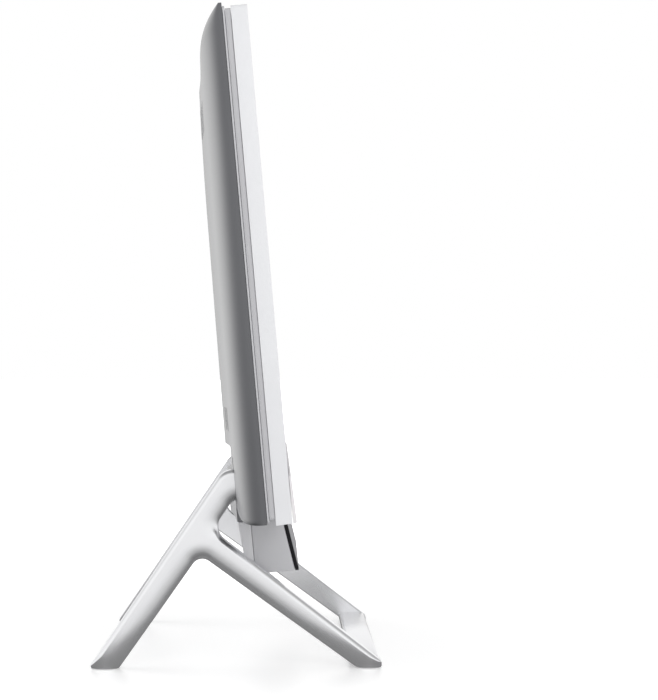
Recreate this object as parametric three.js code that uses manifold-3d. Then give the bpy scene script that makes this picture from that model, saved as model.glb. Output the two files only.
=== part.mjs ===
// All-in-one desktop computer: a leaning display body with a sound bar under it, on a stand of two
// splayed metal side frames. Millimetres, +Z up, the user sits on the -Y side, and the origin lies
// on the desk under the middle of the stand.
import * as THREE from 'three';
import { mergeVertices } from 'three/addons/utils/BufferGeometryUtils.js';
import Module from 'manifold-3d';

const wasm = await Module();
wasm.setup();

// Gaps, overruns and roundness shared by all pieces.
const gap = 0.3;
const runningGap = 0.1;
const overrun = 40;
const arcSteps = 3;
const fineArcSteps = 5;
const smallArcSteps = 2;
const slotSteps = 1;
const cornerSteps = 6;

// Display body: its outside size, its place over the desk and its lean.
const displayWidth = 612.5;
const displayHeight = 377;
const leanAngle = 5.04;
const frontPlaneY = -43.9;
const frontPlaneZ = 131.2;

// Front bezel and the chin panel on it.
const slabDepth = 12.1;
const slabCornerRadius = 3;
const slabBottomDrop = 1.4;
const bezelWidth = 7.5;
const bezelLip = 0.7;
const bezelRebate = 4;
const chinHeight = 33.3;
const chinTopProud = 1.6;
const chinBottomProud = 3.2;
const chinEdgeRadius = 1.2;
const bottomLipDrop = 1.9;
const bottomLipHeight = 3.3;

// Display stack behind the bezel.
const coverGlassThickness = 1.1;
const panelThickness = 1.4;
const trayThickness = 0.9;
const guideThickness = 5.4;

// Chassis: a recessed rim that shows at the side, a stamped plate, and bosses on it.
const chassisRimDepth = 4.1;
const chassisRecess = 1.5;
const chassisRimWidth = 9;
const chassisBottom = 1.7;
const chassisPlateThickness = 1.2;
const chassisWindowWidth = 84;
const chassisWindowHeight = 44;
const chassisWindowRadius = 8;
const chassisWindowRowShares = [0.56, 0.74];
const chassisWindowSideMargin = 24;
const bossRadius = 3.2;

// Bright trim line between the chassis rim and the rear cover.
const trimThickness = 1.4;
const trimWidth = 5;
const trimBottom = -0.4;

// Rear cover: a shell whose depth falls from a soft ridge in the middle to tight side edges.
const coverTopRise = 2.2;
const coverBottom = -0.9;
const coverLip = 2.4;
const coverWall = 2.2;
const coverBulge = 30.8;
const coverSlopeShare = 0.5;
const coverSlopePower = 0.6;
const coverRidgeShare = 0.08;
const coverSidePower = 17;
const coverTopTaper = 20;
const coverCrownReach = 129.2;
const coverCrownFadeShare = 0.3;
const coverCrownDropShare = 0.08;
const coverBottomTaper = 4;
const coverBottomRoundShare = 0.12;
const coverGrowShare = 0.05;
const coverColumns = 12;
const coverColumnPower = 2.3;
const coverTopRows = 6;
const coverMiddleRows = 7;
const coverBottomRows = 3;

// Tongue: the cover's middle reaches lower, down to the sound bar.
const tongueSideGap = 2.5;
const tongueBottom = -10.7;
const tongueRoot = 6;
const tongueSteps = 16;

// Slots in the rear cover that the stand's arms pass through.
const slotSideGap = 1.3;
const slotTop = 43;
const slotStart = 24;
const slotTopRadius = 5;

// Ventilation slots.
const ventWidth = 3;
const ventCorner = 1;
const exhaustCount = 18;
const exhaustPitch = 9;
const exhaustTopDrop = 35;
const exhaustHeight = 26;
const intakeCount = 7;
const intakePitch = 9;
const intakeBottom = 62;
const intakeHeight = 20;
const intakeMiddle = 62;

// Recess of the rear cover that holds the rear sockets.
const recessBoardMargin = 10;
const recessBottom = 28.5;
const recessHeight = 21;
const recessFloor = 38.9;
const recessRadius = 3;

// Tilt hinge, in the display body's own depth and height.
const hingeDepth = 29;
const hingeHeight = 19;
const shaftRadius = 5;
const shaftSeat = 11.7;
const washerRadius = 8;
const washerThickness = 2.4;
const knuckleWall = 3.2;
const bracketWidth = 19;
const bracketThickness = 2.2;
const bracketTop = 92;
const bracketWebHeight = 15;
const bracketScrewLow = 46;
const bracketScrewHigh = 80;
const screwHeadRadius = 3;
const screwHeadHeight = 1.8;
const screwShankRadius = 1.5;
const screwShankLength = 3;

// Mainboard and what it carries.
const boardWidth = 210;
const boardBottom = 30;
const boardHeight = 185;
const boardThickness = 1.6;
const boardStandoff = 5.2;
const boardEdge = 8;
const cardEdgeMargin = 9;
const processorSize = 37.5;
const processorThickness = 1.5;
const processorX = -20;
const processorZ = 110;
const coldPlateSize = 52;
const coldPlateThickness = 3;
const memoryLength = 69.6;
const memoryWidth = 30;
const memoryThickness = 3.8;
const memoryTopMargin = 9;
const memoryGap = 3;
const driveStickLength = 80;
const driveStickWidth = 22;
const driveStickThickness = 2.4;
const driveStickZ = 71;
const wirelessLength = 30;
const wirelessZ = 112;

// Cooling: blower housing, rotor, fins and the pipe that joins them to the cold plate.
const fanSize = 86;
const fanBoardGap = 5;
const fanCentreZ = 200;
const fanFront = 22;
const fanThickness = 14;
const fanWall = 1.2;
const fanSideWall = 5;
const fanInletLip = 9;
const fanCornerRadius = 9;
const fanBearingRadius = 4;
const fanBearingHeight = 3;
const rotorHubRadius = 15;
const rotorTipGap = 2.5;
const rotorHeight = 7;
const rotorRingWidth = 1.2;
const bladeCount = 17;
const bladeThickness = 1;
const bladeSweep = 34;
const bladeSteps = 3;
const finBlockHeight = 22;
const finBlockDepth = 12.6;
const finCount = 15;
const finThickness = 0.8;
const finBase = 1.4;
const pipeWidth = 8;
const pipeThickness = 3;
const pipeBoardMargin = 5;
const pipeBend = 12;

// Hard drive and the tray that holds it.
const driveWidth = 100;
const driveHeight = 70;
const driveThickness = 7;
const driveSideMargin = 45;
const driveBracketGap = 4;
const trayFlangeHeight = 6;
const trayFlangeThickness = 1;

// Rear sockets, one row standing on the mainboard.
const socketRowZ = 39;
const socketDepth = 14.7;
const socketWall = 0.8;
const socketFloor = 3;
const tongueThickness = 1.8;
const tongueShort = 1.5;
const powerSocketSize = 11;
const powerSocketRadius = 3.7;
const powerPinRadius = 1.2;
const powerSocketShare = 0.86;
const networkSocketWidth = 15.6;
const networkSocketHeight = 13.4;
const networkSocketShare = 0.59;
const pictureSocketWidth = 15.4;
const pictureSocketHeight = 6.2;
const pictureInShare = 0.295;
const pictureOutShare = 0.042;
const usbSocketWidth = 14.6;
const usbSocketHeight = 15.2;
const usbFirstShare = -0.275;
const usbSecondShare = -0.57;

// Side board with the small sockets that open downwards near one end.
const sideBoardWidth = 78;
const sideBoardHeight = 22;
const sideBoardMargin = 22;
const sideBoardBottom = 12;
const lowSocketDepth = 6.2;
const lowSocketLength = 14;
const headsetRadius = 1.9;
const smallUsbWidth = 9.4;
const cardSlotWidth = 28;
const lowSocketPitch = 10;
const lowSocketMargin = 4;
const lowSocketGap = 3;

// Buttons in the bottom wall near the other end, and the board with their switches.
const buttonWidth = 14;
const buttonDepth = 5;
const buttonProud = 0.6;
const buttonTravel = 1.2;
const buttonFlange = 1.2;
const buttonFlangeThickness = 1.2;
const buttonStem = 3;
const buttonSideMargin = 23.25;
const buttonPitch = 26;
const buttonY = 27.5;
const buttonBoardWidth = 60;
const buttonBoardHeight = 14;
const switchSize = 4;
const switchHeight = 3;

// Camera that rises out of the top edge, and its guide.
const cameraWidth = 84;
const cameraDepth = 6.4;
const cameraHeight = 40;
const cameraTopRise = 0.6;
const cameraFront = 22.6;
const cameraEdgeRadius = 1.2;
const cameraSlotGap = 0.5;
const lensRadius = 3.6;
const lensDrop = 10;
const lensDepth = 1.6;
const guideWall = 2;
const guideHeight = 44;
const guideTopDrop = 6;

// Sound bar under the display body.
const barSideGap = 3;
const barTop = -3;
const barStepTop = coverBottom - gap;
const barStepDepth = 15.5;
const barBottom = -53.9;
const barFrontTopDepth = 6.2;
const barFrontSlant = 9.1;
const barSeamDepth = 37;
const barWall = 2.2;
const barBackTopDepth = 44;
const barBackBottomDepth = 40;
const barBackTop = -11;
const barBackRadius = 7;
const barBackTopRadius = 1;
const gasketThickness = 2.9;
const gasketRim = 2.2;
const grilleThickness = 1.2;
const grilleColumns = 15;
const grilleHoleWidth = 11;
const grilleHoleHeight = 1.6;
const grilleRows = 5;
const grilleHoleGap = 5.4;
const speakerWidth = 74;
const speakerDepth = 24;
const speakerSideMargin = 9.8;
const speakerConeRadius = 15;
const speakerConeDepth = 5;

// Stand: two mirrored side frames. Distances are along the desk (Y) and up (Z).
const standWidth = 300;
const frameThickness = 16;
const rearFootY = 119.2;
const rearLegAngle = 55.75;
const rearLegTaper = 1.15;
const rearFootLength = 24.6;
const armTop = 160.2;
const armUnderside = 136.2;
const armEndReach = 11.5;
const armWidth = 20;
const toeY = -117.15;
const toeHeight = 5.8;
const frontLegUpperAngle = 37.65;
const frontLegLowerAngle = 35.78;
const frontFootLength = 19.9;
const shoulderRadius = 15.3;
const armEndRadius = 11;
const elbowRadius = 12;
const windowRadius = 9;
const crotchRadius = 9;
const toeTopRadius = 3;
const toeBottomRadius = 2;
const frontHeelRadius = 6;
const rearHeelRadius = 3;
const rearTipRadius = 2.3;
const domeHeight = 6;
const domeInset = 6;
const domeSteps = 4;
const innerEdgeRound = 0.8;
const sharpestRadius = 0.4;

// Cross bar that joins the toes, and the dowels on its ends.
const crossBarDepth = 24;
const crossBarHeight = 7.4;
const crossBarLift = 1.4;
const crossBarSetback = 1.6;
const crossBarRadius = 3;
const dowelRadius = 2.2;
const dowelLength = 8;

// Rubber pads let into the four feet.
const padProud = 0.6;
const padThickness = 1.8;
const padWidth = 9;
const rearPadLength = 13;
const frontPadLength = 11;
const padInnerMargin = 2;

// Depths of the display body's layers, front to back.
const glassFront = bezelLip + gap;
const panelFront = glassFront + coverGlassThickness + gap;
const trayFront = panelFront + panelThickness + gap;
const trayBack = slabDepth;
const chassisFront = slabDepth + gap;
const chassisBack = chassisFront + chassisRimDepth;
const trimFront = chassisBack + gap;
const trimBack = trimFront + trimThickness;
const coverFront = trimBack + gap;
const coverRim = coverFront + coverLip;
const boardFront = chassisBack + boardStandoff + gap;
const boardBack = boardFront + boardThickness;
const socketFront = boardBack + gap;
const socketBack = socketFront + socketDepth;
const halfWidth = displayWidth / 2;
const coverTop = displayHeight + coverTopRise;
const exhaustBottom = displayHeight - exhaustTopDrop - exhaustHeight;
const cameraTop = displayHeight + cameraTopRise;
const guideTop = displayHeight - guideTopDrop;
const innerSide = standWidth / 2 - frameThickness;
const boardSide = boardWidth / 2;
const boardTop = boardBottom + boardHeight;
const recessSide = boardSide - recessBoardMargin;
const fanCentreX = boardSide + fanBoardGap + fanSize / 2;
const fanCavityRadius = fanSize / 2 - fanSideWall;
const fanInletRadius = fanCavityRadius - fanInletLip;
const rotorRadius = fanCavityRadius - rotorTipGap;
const pipeRiseX = boardSide - pipeBoardMargin;

/** Turns a closed geometry into a solid that can be joined and cut. */
function solidOf(geometry) {
  const bare = geometry.clone();
  bare.deleteAttribute('normal');
  bare.deleteAttribute('uv');
  const welded = mergeVertices(bare);
  const corners = welded.index.array;
  const kept = [];
  for (let i = 0; i < corners.length; i += 3) {
    const [a, b, c] = corners.slice(i, i + 3);
    if (a !== b && b !== c && c !== a) {
      kept.push(a, b, c);
    }
  }
  return new wasm.Manifold(new wasm.Mesh({
    numProp: 3,
    vertProperties: new Float32Array(welded.attributes.position.array),
    triVerts: new Uint32Array(kept),
  }));
}

/** Gives a solid's surface back as a geometry. */
function geometryOf(solid) {
  const mesh = solid.getMesh();
  const geometry = new THREE.BufferGeometry();
  geometry.setAttribute('position', new THREE.BufferAttribute(mesh.vertProperties, 3));
  geometry.setIndex(new THREE.BufferAttribute(mesh.triVerts, 1));
  geometry.computeVertexNormals();
  return geometry;
}

function joined(first, ...others) {
  return others.reduce((sum, other) => sum.add(other), first);
}

function without(first, ...others) {
  return others.reduce((rest, other) => rest.subtract(other), first);
}

/** Sweeps a flat shape along an axis: its two shape axes become the other two, in X, Y, Z order. */
function prism(axis, shape, from, to, steps = arcSteps) {
  const options = { depth: to - from, bevelEnabled: false, curveSegments: steps };
  const geometry = new THREE.ExtrudeGeometry(shape, options);
  const x = new THREE.Vector3(1, 0, 0);
  const y = new THREE.Vector3(0, 1, 0);
  const z = new THREE.Vector3(0, 0, 1);
  const place = new THREE.Matrix4();
  if (axis === 'x') {
    place.makeBasis(y, z, x).setPosition(from, 0, 0);
  } else if (axis === 'y') {
    place.makeBasis(x, z, y.negate()).setPosition(0, to, 0);
  } else {
    place.setPosition(0, 0, from);
  }
  return solidOf(geometry.applyMatrix4(place));
}

function block(x0, x1, y0, y1, z0, z1) {
  const box = new THREE.BoxGeometry(x1 - x0, y1 - y0, z1 - z0);
  return solidOf(box.translate((x0 + x1) / 2, (y0 + y1) / 2, (z0 + z1) / 2));
}

/** A rectangle between two corners, with round corners where a radius is given. */
function rectangle(u0, u1, v0, v1, radius = 0) {
  const shape = new THREE.Shape();
  if (radius === 0) {
    shape.moveTo(u0, v0).lineTo(u1, v0).lineTo(u1, v1).lineTo(u0, v1);
    return shape;
  }
  shape.absarc(u1 - radius, v0 + radius, radius, -Math.PI / 2, 0);
  shape.absarc(u1 - radius, v1 - radius, radius, 0, Math.PI / 2);
  shape.absarc(u0 + radius, v1 - radius, radius, Math.PI / 2, Math.PI);
  shape.absarc(u0 + radius, v0 + radius, radius, Math.PI, 1.5 * Math.PI);
  return shape;
}

function circle(u, v, radius) {
  const shape = new THREE.Shape();
  for (let quarter = 0; quarter < 4; quarter += 1) {
    shape.absarc(u, v, radius, quarter * Math.PI / 2, (quarter + 1) * Math.PI / 2);
  }
  return shape;
}

/** An upright slot with cut corners. */
function slot(u, v, width, height, corner) {
  const shape = new THREE.Shape();
  const side = width / 2;
  const end = v + height;
  shape.moveTo(u - side + corner, v).lineTo(u + side - corner, v).lineTo(u + side, v + corner);
  shape.lineTo(u + side, end - corner).lineTo(u + side - corner, end).lineTo(u - side + corner, end);
  shape.lineTo(u - side, end - corner).lineTo(u - side, v + corner);
  return shape;
}

/** The two flat coordinates of a heading in degrees. */
function heading(degrees) {
  const angle = THREE.MathUtils.degToRad(degrees);
  return new THREE.Vector2(Math.cos(angle), Math.sin(angle));
}

/** Where two lines meet; a line is a point and a direction. */
function meeting(one, two) {
  const between = two.point.clone().sub(one.point);
  const along = between.cross(two.direction) / one.direction.cross(two.direction);
  return one.point.clone().addScaledVector(one.direction, along);
}

/**
 * Outline of a closed run of straight edges with round corners, moved inwards by an inset.
 * An edge has a point, a direction, the radius of the corner at its end, and the share of the
 * inset that it takes. The same number of points comes back for every inset.
 */
function roundedOutline(edges, inset, steps) {
  const lines = edges.map(({ point, direction, insetShare }) => {
    const inward = new THREE.Vector2(-direction.y, direction.x);
    return { point: point.clone().addScaledVector(inward, inset * insetShare), direction };
  });
  const outline = [];
  lines.forEach((line, i) => {
    const next = lines[(i + 1) % lines.length];
    const corner = meeting(line, next);
    const turn = Math.atan2(line.direction.cross(next.direction), line.direction.dot(next.direction));
    const side = Math.sign(turn);
    const radius = Math.max(edges[i].radius - side * inset, sharpestRadius);
    const reach = radius * Math.tan(Math.abs(turn) / 2);
    const start = corner.clone().addScaledVector(line.direction, -reach);
    const toCentre = new THREE.Vector2(-line.direction.y, line.direction.x).multiplyScalar(side * radius);
    const centre = start.clone().add(toCentre);
    for (let step = 0; step <= steps; step += 1) {
      outline.push(start.clone().rotateAround(centre, turn * step / steps));
    }
  });
  return outline;
}

/** Skins a stack of rings with equal point counts; a ring has x and its outline of (y, z) points. */
function loftedRings(rings) {
  const count = rings[0].outline.length;
  const positions = [];
  rings.forEach(({ x, outline }) => outline.forEach((p) => positions.push(x, p.x, p.y)));
  const corners = [];
  for (let ring = 0; ring + 1 < rings.length; ring += 1) {
    for (let i = 0; i < count; i += 1) {
      const a = ring * count + i;
      const b = ring * count + (i + 1) % count;
      corners.push(a, b, b + count, a, b + count, a + count);
    }
  }
  const last = (rings.length - 1) * count;
  THREE.ShapeUtils.triangulateShape(rings[0].outline, []).forEach(([a, b, c]) => corners.push(a, c, b));
  THREE.ShapeUtils.triangulateShape(rings.at(-1).outline, []).forEach(([a, b, c]) => {
    corners.push(last + a, last + b, last + c);
  });
  const geometry = new THREE.BufferGeometry();
  geometry.setAttribute('position', new THREE.Float32BufferAttribute(positions, 3));
  geometry.setIndex(corners);
  return geometry;
}

/** The same surface on the other side of the middle plane, still facing out. */
function mirrored(geometry) {
  const copy = geometry.clone().applyMatrix4(new THREE.Matrix4().makeScale(-1, 1, 1));
  const corners = copy.index.array;
  for (let i = 0; i < corners.length; i += 3) {
    [corners[i + 1], corners[i + 2]] = [corners[i + 2], corners[i + 1]];
  }
  return copy;
}

function finish(color, roughness, metalness) {
  return new THREE.MeshStandardMaterial({ color, roughness, metalness });
}

const satinSilver = finish(0xc9cacd, 0.3, 0.9);
const pearlWhite = finish(0xf0f1f4, 0.35, 0);
const warmWhite = finish(0xe9e6e8, 0.4, 0);
const coverSilver = finish(0xaeb0b5, 0.4, 0.5);
const midGray = finish(0xb9babe, 0.5, 0);
const blackGlass = finish(0x08090b, 0.08, 0);
const darkPanel = finish(0x1a1b1e, 0.4, 0);
const clearGuide = finish(0xe8ecef, 0.2, 0);
const sheetSteel = finish(0xa7a9ac, 0.4, 0.9);
const boardGreen = finish(0x16382a, 0.5, 0);
const chipBlack = finish(0x1c1d20, 0.5, 0);
const copper = finish(0xb5724a, 0.3, 1);
const aluminium = finish(0xc4c6c9, 0.35, 0.9);
const fanBlack = finish(0x202124, 0.5, 0);
const rubberDark = finish(0x35363a, 0.8, 0);
const grilleGray = finish(0xb7b8bc, 0.7, 0);

const computer = new THREE.Group();
const displayBody = new THREE.Group();
computer.add(displayBody);

/** The display body leans back about its front lower edge. */
displayBody.position.set(0, frontPlaneY, frontPlaneZ);
displayBody.rotation.x = -THREE.MathUtils.degToRad(leanAngle);

function addPiece(group, name, solid, material) {
  const mesh = new THREE.Mesh(geometryOf(solid), material);
  mesh.name = name;
  group.add(mesh);
  return mesh;
}

/** The tilt axis where the stand meets it, in the stand's Y and Z. */
const hingePoint = new THREE.Vector3(0, hingeDepth, hingeHeight)
  .applyEuler(displayBody.rotation)
  .add(displayBody.position);

/** A pan-head screw whose axis runs in depth, its head towards the back. */
function screwAt(x, headFront, z) {
  const head = prism('y', circle(x, z, screwHeadRadius), headFront, headFront + screwHeadHeight,
    smallArcSteps);
  const shank = circle(x, z, screwShankRadius);
  return joined(head, prism('y', shank, headFront - screwShankLength, headFront, slotSteps));
}

function screwHole(x, z) {
  return prism('y', circle(x, z, screwShankRadius + gap), 0, overrun, slotSteps);
}

/** The edges of a side frame's outline, once round, with the material on their left. */
function frameEdges() {
  const edge = (y, z, degrees, radius, insetShare = 1) => ({
    point: new THREE.Vector2(y, z), direction: heading(degrees), radius, insetShare,
  });
  const rearUp = 180 - rearLegAngle;
  const inward = heading(rearUp + 90).multiplyScalar(armWidth);
  return [
    edge(rearFootY, padProud, rearUp, shoulderRadius),
    edge(0, armTop, 180, armEndRadius),
    edge(hingePoint.y - armEndReach, 0, 270, armEndRadius),
    edge(0, armUnderside, 0, elbowRadius),
    edge(rearFootY + inward.x, padProud + inward.y, -rearLegAngle, windowRadius),
    edge(toeY, toeHeight, 180 + frontLegUpperAngle, toeTopRadius),
    edge(toeY, 0, 270, toeBottomRadius),
    edge(0, padProud, 0, frontHeelRadius, 0),
    edge(toeY + frontFootLength, padProud, frontLegLowerAngle, crotchRadius),
    edge(rearFootY - rearFootLength, padProud, rearLegTaper - rearLegAngle, rearHeelRadius),
    edge(0, padProud, 0, rearTipRadius, 0),
  ];
}

/** Y ranges of the rear and the front pad. */
function padRanges() {
  const rearMiddle = rearFootY - rearFootLength / 2 - rearTipRadius / 2;
  const frontMiddle = toeY + frontFootLength / 2;
  return {
    rear: [rearMiddle - rearPadLength / 2, rearMiddle + rearPadLength / 2],
    front: [frontMiddle - frontPadLength / 2, frontMiddle + frontPadLength / 2],
  };
}

function crossBarAxis() {
  return {
    y: toeY + crossBarSetback + crossBarDepth / 2,
    z: crossBarLift + crossBarHeight / 2,
  };
}

/** One side frame: a flat inner face, and an outer face domed like a pillow. */
function sideFrame() {
  const edges = frameEdges();
  const outerX = standWidth / 2;
  const rings = [
    { x: innerSide, outline: roundedOutline(edges, innerEdgeRound, cornerSteps) },
    { x: innerSide + innerEdgeRound, outline: roundedOutline(edges, 0, cornerSteps) },
  ];
  for (let step = 0; step <= domeSteps; step += 1) {
    const angle = step / domeSteps * Math.PI / 2;
    rings.push({
      x: outerX - domeHeight * (1 - Math.sin(angle)),
      outline: roundedOutline(edges, domeInset * (1 - Math.cos(angle)), cornerSteps),
    });
  }
  const dowel = crossBarAxis();
  const boreX = innerSide + dowelLength + gap;
  const shaftBore = prism('x', circle(hingePoint.y, hingePoint.z, shaftRadius + gap),
    innerSide - gap, innerSide + shaftSeat + gap);
  const dowelBore = prism('x', circle(dowel.y, dowel.z, dowelRadius + gap), innerSide - gap, boreX,
    smallArcSteps);
  const pockets = Object.values(padRanges()).map(([from, to]) => block(
    innerSide + padInnerMargin - gap, innerSide + padInnerMargin + padWidth + gap,
    from - gap, to + gap, 0, padThickness + gap));
  return without(solidOf(loftedRings(rings)), shaftBore, dowelBore, ...pockets);
}

function buildStand() {
  const frame = sideFrame();
  addPiece(computer, 'stand_frame_right', frame, satinSilver);
  const left = new THREE.Mesh(mirrored(geometryOf(frame)), satinSilver);
  left.name = 'stand_frame_left';
  computer.add(left);

  const barAxis = crossBarAxis();
  const barEnd = innerSide - gap;
  const section = rectangle(barAxis.y - crossBarDepth / 2, barAxis.y + crossBarDepth / 2,
    crossBarLift, crossBarLift + crossBarHeight, crossBarRadius);
  const dowels = prism('x', circle(barAxis.y, barAxis.z, dowelRadius), -innerSide - dowelLength,
    innerSide + dowelLength, smallArcSteps);
  const bar = joined(prism('x', section, -barEnd, barEnd), dowels);
  addPiece(computer, 'front_cross_bar', bar, satinSilver);

  const shaftEnd = innerSide + shaftSeat;
  const shaft = prism('x', circle(hingePoint.y, hingePoint.z, shaftRadius), -shaftEnd, shaftEnd);
  addPiece(computer, 'hinge_shaft', shaft, sheetSteel);

  const pads = padRanges();
  [['left', -1], ['right', 1]].forEach(([side, sign]) => {
    const washer = circle(hingePoint.y, hingePoint.z, washerRadius);
    washer.holes.push(circle(hingePoint.y, hingePoint.z, shaftRadius + gap));
    const faces = [sign * (barEnd - washerThickness), sign * barEnd].sort((a, b) => a - b);
    const ring = prism('x', washer, ...faces, smallArcSteps);
    addPiece(computer, `friction_washer_${side}`, ring, sheetSteel);
    Object.entries(pads).forEach(([end, [from, to]]) => {
      const x = [sign * (innerSide + padInnerMargin), sign * (innerSide + padInnerMargin + padWidth)];
      x.sort((a, b) => a - b);
      const pad = block(...x, from, to, 0, padThickness);
      addPiece(computer, `foot_pad_${end}_${side}`, pad, rubberDark);
    });
  });
}

/** Depth of the rear cover's outer surface behind its rim. */
function coverDepth(x, z) {
  const across = Math.min(Math.abs(x) / halfWidth, 1);
  const ridge = Math.hypot(across, coverRidgeShare) - coverRidgeShare;
  const crown = Math.max(1 - (coverTop - z) / coverCrownReach, 0) ** 2;
  const slope = coverSlopeShare * (1 - coverCrownFadeShare * crown) * ridge ** coverSlopePower;
  const side = Math.sqrt(1 - across ** coverSidePower);
  const toTop = THREE.MathUtils.clamp(1 - (coverTop - z) / coverTopTaper, 0, 1);
  const toBottom = THREE.MathUtils.clamp(1 - (z - coverBottom) / coverBottomTaper, 0, 1);
  const rounded = 1 - coverBottomRoundShare * (1 - Math.sqrt(1 - toBottom ** 2));
  const ends = Math.sqrt(1 - toTop) * rounded;
  const grow = 1 + coverGrowShare * (1 - 2 * (z - coverBottom) / (coverTop - coverBottom));
  return coverBulge * grow * (1 - slope - coverCrownDropShare * crown) * side * ends;
}

/** Positions across and up the rear cover, close together where it curves. */
function coverGridLines() {
  const half = [];
  for (let i = 1; i <= coverColumns; i += 1) {
    half.push(halfWidth * (1 - (1 - i / coverColumns) ** coverColumnPower));
  }
  const xs = [...half.map((x) => -x).reverse(), 0, ...half];
  const zs = [];
  for (let i = 0; i <= coverBottomRows; i += 1) {
    zs.push(coverBottom + coverBottomTaper * (1 - Math.cos(i / coverBottomRows * Math.PI / 2)));
  }
  const middleFrom = coverBottom + coverBottomTaper;
  const middleTo = coverTop - coverTopTaper;
  for (let i = 1; i <= coverMiddleRows; i += 1) {
    zs.push(THREE.MathUtils.lerp(middleFrom, middleTo, i / coverMiddleRows));
  }
  for (let i = 1; i <= coverTopRows; i += 1) {
    zs.push(middleTo + coverTopTaper * (1 - (1 - i / coverTopRows) ** 2));
  }
  return { xs, zs };
}

/** The body under the cover's surface, shrunk on all sides by a wall where one is given. */
function coverBody(wall) {
  const { xs, zs } = coverGridLines();
  const front = coverFront - wall;
  const positions = [];
  const middleZ = (coverTop + coverBottom) / 2;
  const shrinkX = (halfWidth - wall) / halfWidth;
  const shrinkZ = (coverTop - middleZ - wall) / (coverTop - middleZ);
  const place = (x, y, z) => positions.push(x * shrinkX, y, middleZ + (z - middleZ) * shrinkZ);
  zs.forEach((z) => xs.forEach((x) => place(x, coverRim - wall + coverDepth(x, z), z)));
  zs.forEach((z) => xs.forEach((x) => place(x, front, z)));
  const columns = xs.length;
  const rows = zs.length;
  const under = rows * columns;
  const corners = [];
  for (let row = 0; row + 1 < rows; row += 1) {
    for (let column = 0; column + 1 < columns; column += 1) {
      const a = row * columns + column;
      const b = a + columns;
      corners.push(a, b + 1, a + 1, a, b, b + 1);
      corners.push(under + a, under + a + 1, under + b + 1, under + a, under + b + 1, under + b);
    }
  }
  const along = Array.from(xs.keys());
  const up = Array.from(zs.keys());
  const rim = [
    ...along,
    ...up.slice(1).map((row) => row * columns + columns - 1),
    ...along.slice(0, -1).reverse().map((column) => (rows - 1) * columns + column),
    ...up.slice(1, -1).reverse().map((row) => row * columns),
  ];
  rim.forEach((a, i) => {
    const b = rim[(i + 1) % rim.length];
    corners.push(a, b, under + b, a, under + b, under + a);
  });
  const geometry = new THREE.BufferGeometry();
  geometry.setAttribute('position', new THREE.Float32BufferAttribute(positions, 3));
  geometry.setIndex(corners);
  return solidOf(geometry);
}

/** Plan view of the cover's middle between its seam depth and its surface, less a wall. */
function tonguePlan(wall) {
  const shape = new THREE.Shape();
  const half = innerSide - tongueSideGap - wall;
  const from = barSeamDepth + gap + wall;
  const middleZ = coverBottom + coverBottomTaper;
  shape.moveTo(half, from);
  for (let i = 0; i <= tongueSteps; i += 1) {
    const x = half * (1 - 2 * i / tongueSteps);
    shape.lineTo(x, coverRim + coverDepth(x, middleZ) - wall);
  }
  shape.lineTo(-half, from);
  return shape;
}

/** Every rear socket: its name, its place as a share of the recess, and its outside size. */
const rearSockets = [
  ['power_inlet', powerSocketShare, powerSocketSize, powerSocketSize],
  ['network_socket', networkSocketShare, networkSocketWidth, networkSocketHeight],
  ['picture_in_socket', pictureInShare, pictureSocketWidth, pictureSocketHeight],
  ['picture_out_socket', pictureOutShare, pictureSocketWidth, pictureSocketHeight],
  ['usb_sockets_right', usbFirstShare, usbSocketWidth, usbSocketHeight],
  ['usb_sockets_left', usbSecondShare, usbSocketWidth, usbSocketHeight],
].map(([name, share, width, height]) => ({ name, x: recessSide * share, width, height }));

const sideBoardLeft = sideBoardMargin - halfWidth;
const cardSlotX = sideBoardLeft + lowSocketMargin + cardSlotWidth / 2;
const smallUsbX = cardSlotX + cardSlotWidth / 2 + lowSocketPitch + smallUsbWidth / 2;
const headsetX = smallUsbX + smallUsbWidth / 2 + lowSocketPitch + lowSocketDepth / 2;

/** Every small socket in the bottom wall: its name, middle and outside width. */
const lowSockets = [
  { name: 'headset_socket', x: headsetX, width: lowSocketDepth },
  { name: 'small_usb_socket', x: smallUsbX, width: smallUsbWidth },
  { name: 'card_slot', x: cardSlotX, width: cardSlotWidth },
];

const powerButtonX = halfWidth - buttonSideMargin - buttonWidth / 2;
const sourceButtonX = powerButtonX - buttonPitch;
const buttons = [
  { name: 'power_button', x: powerButtonX },
  { name: 'source_button', x: sourceButtonX },
];

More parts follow.
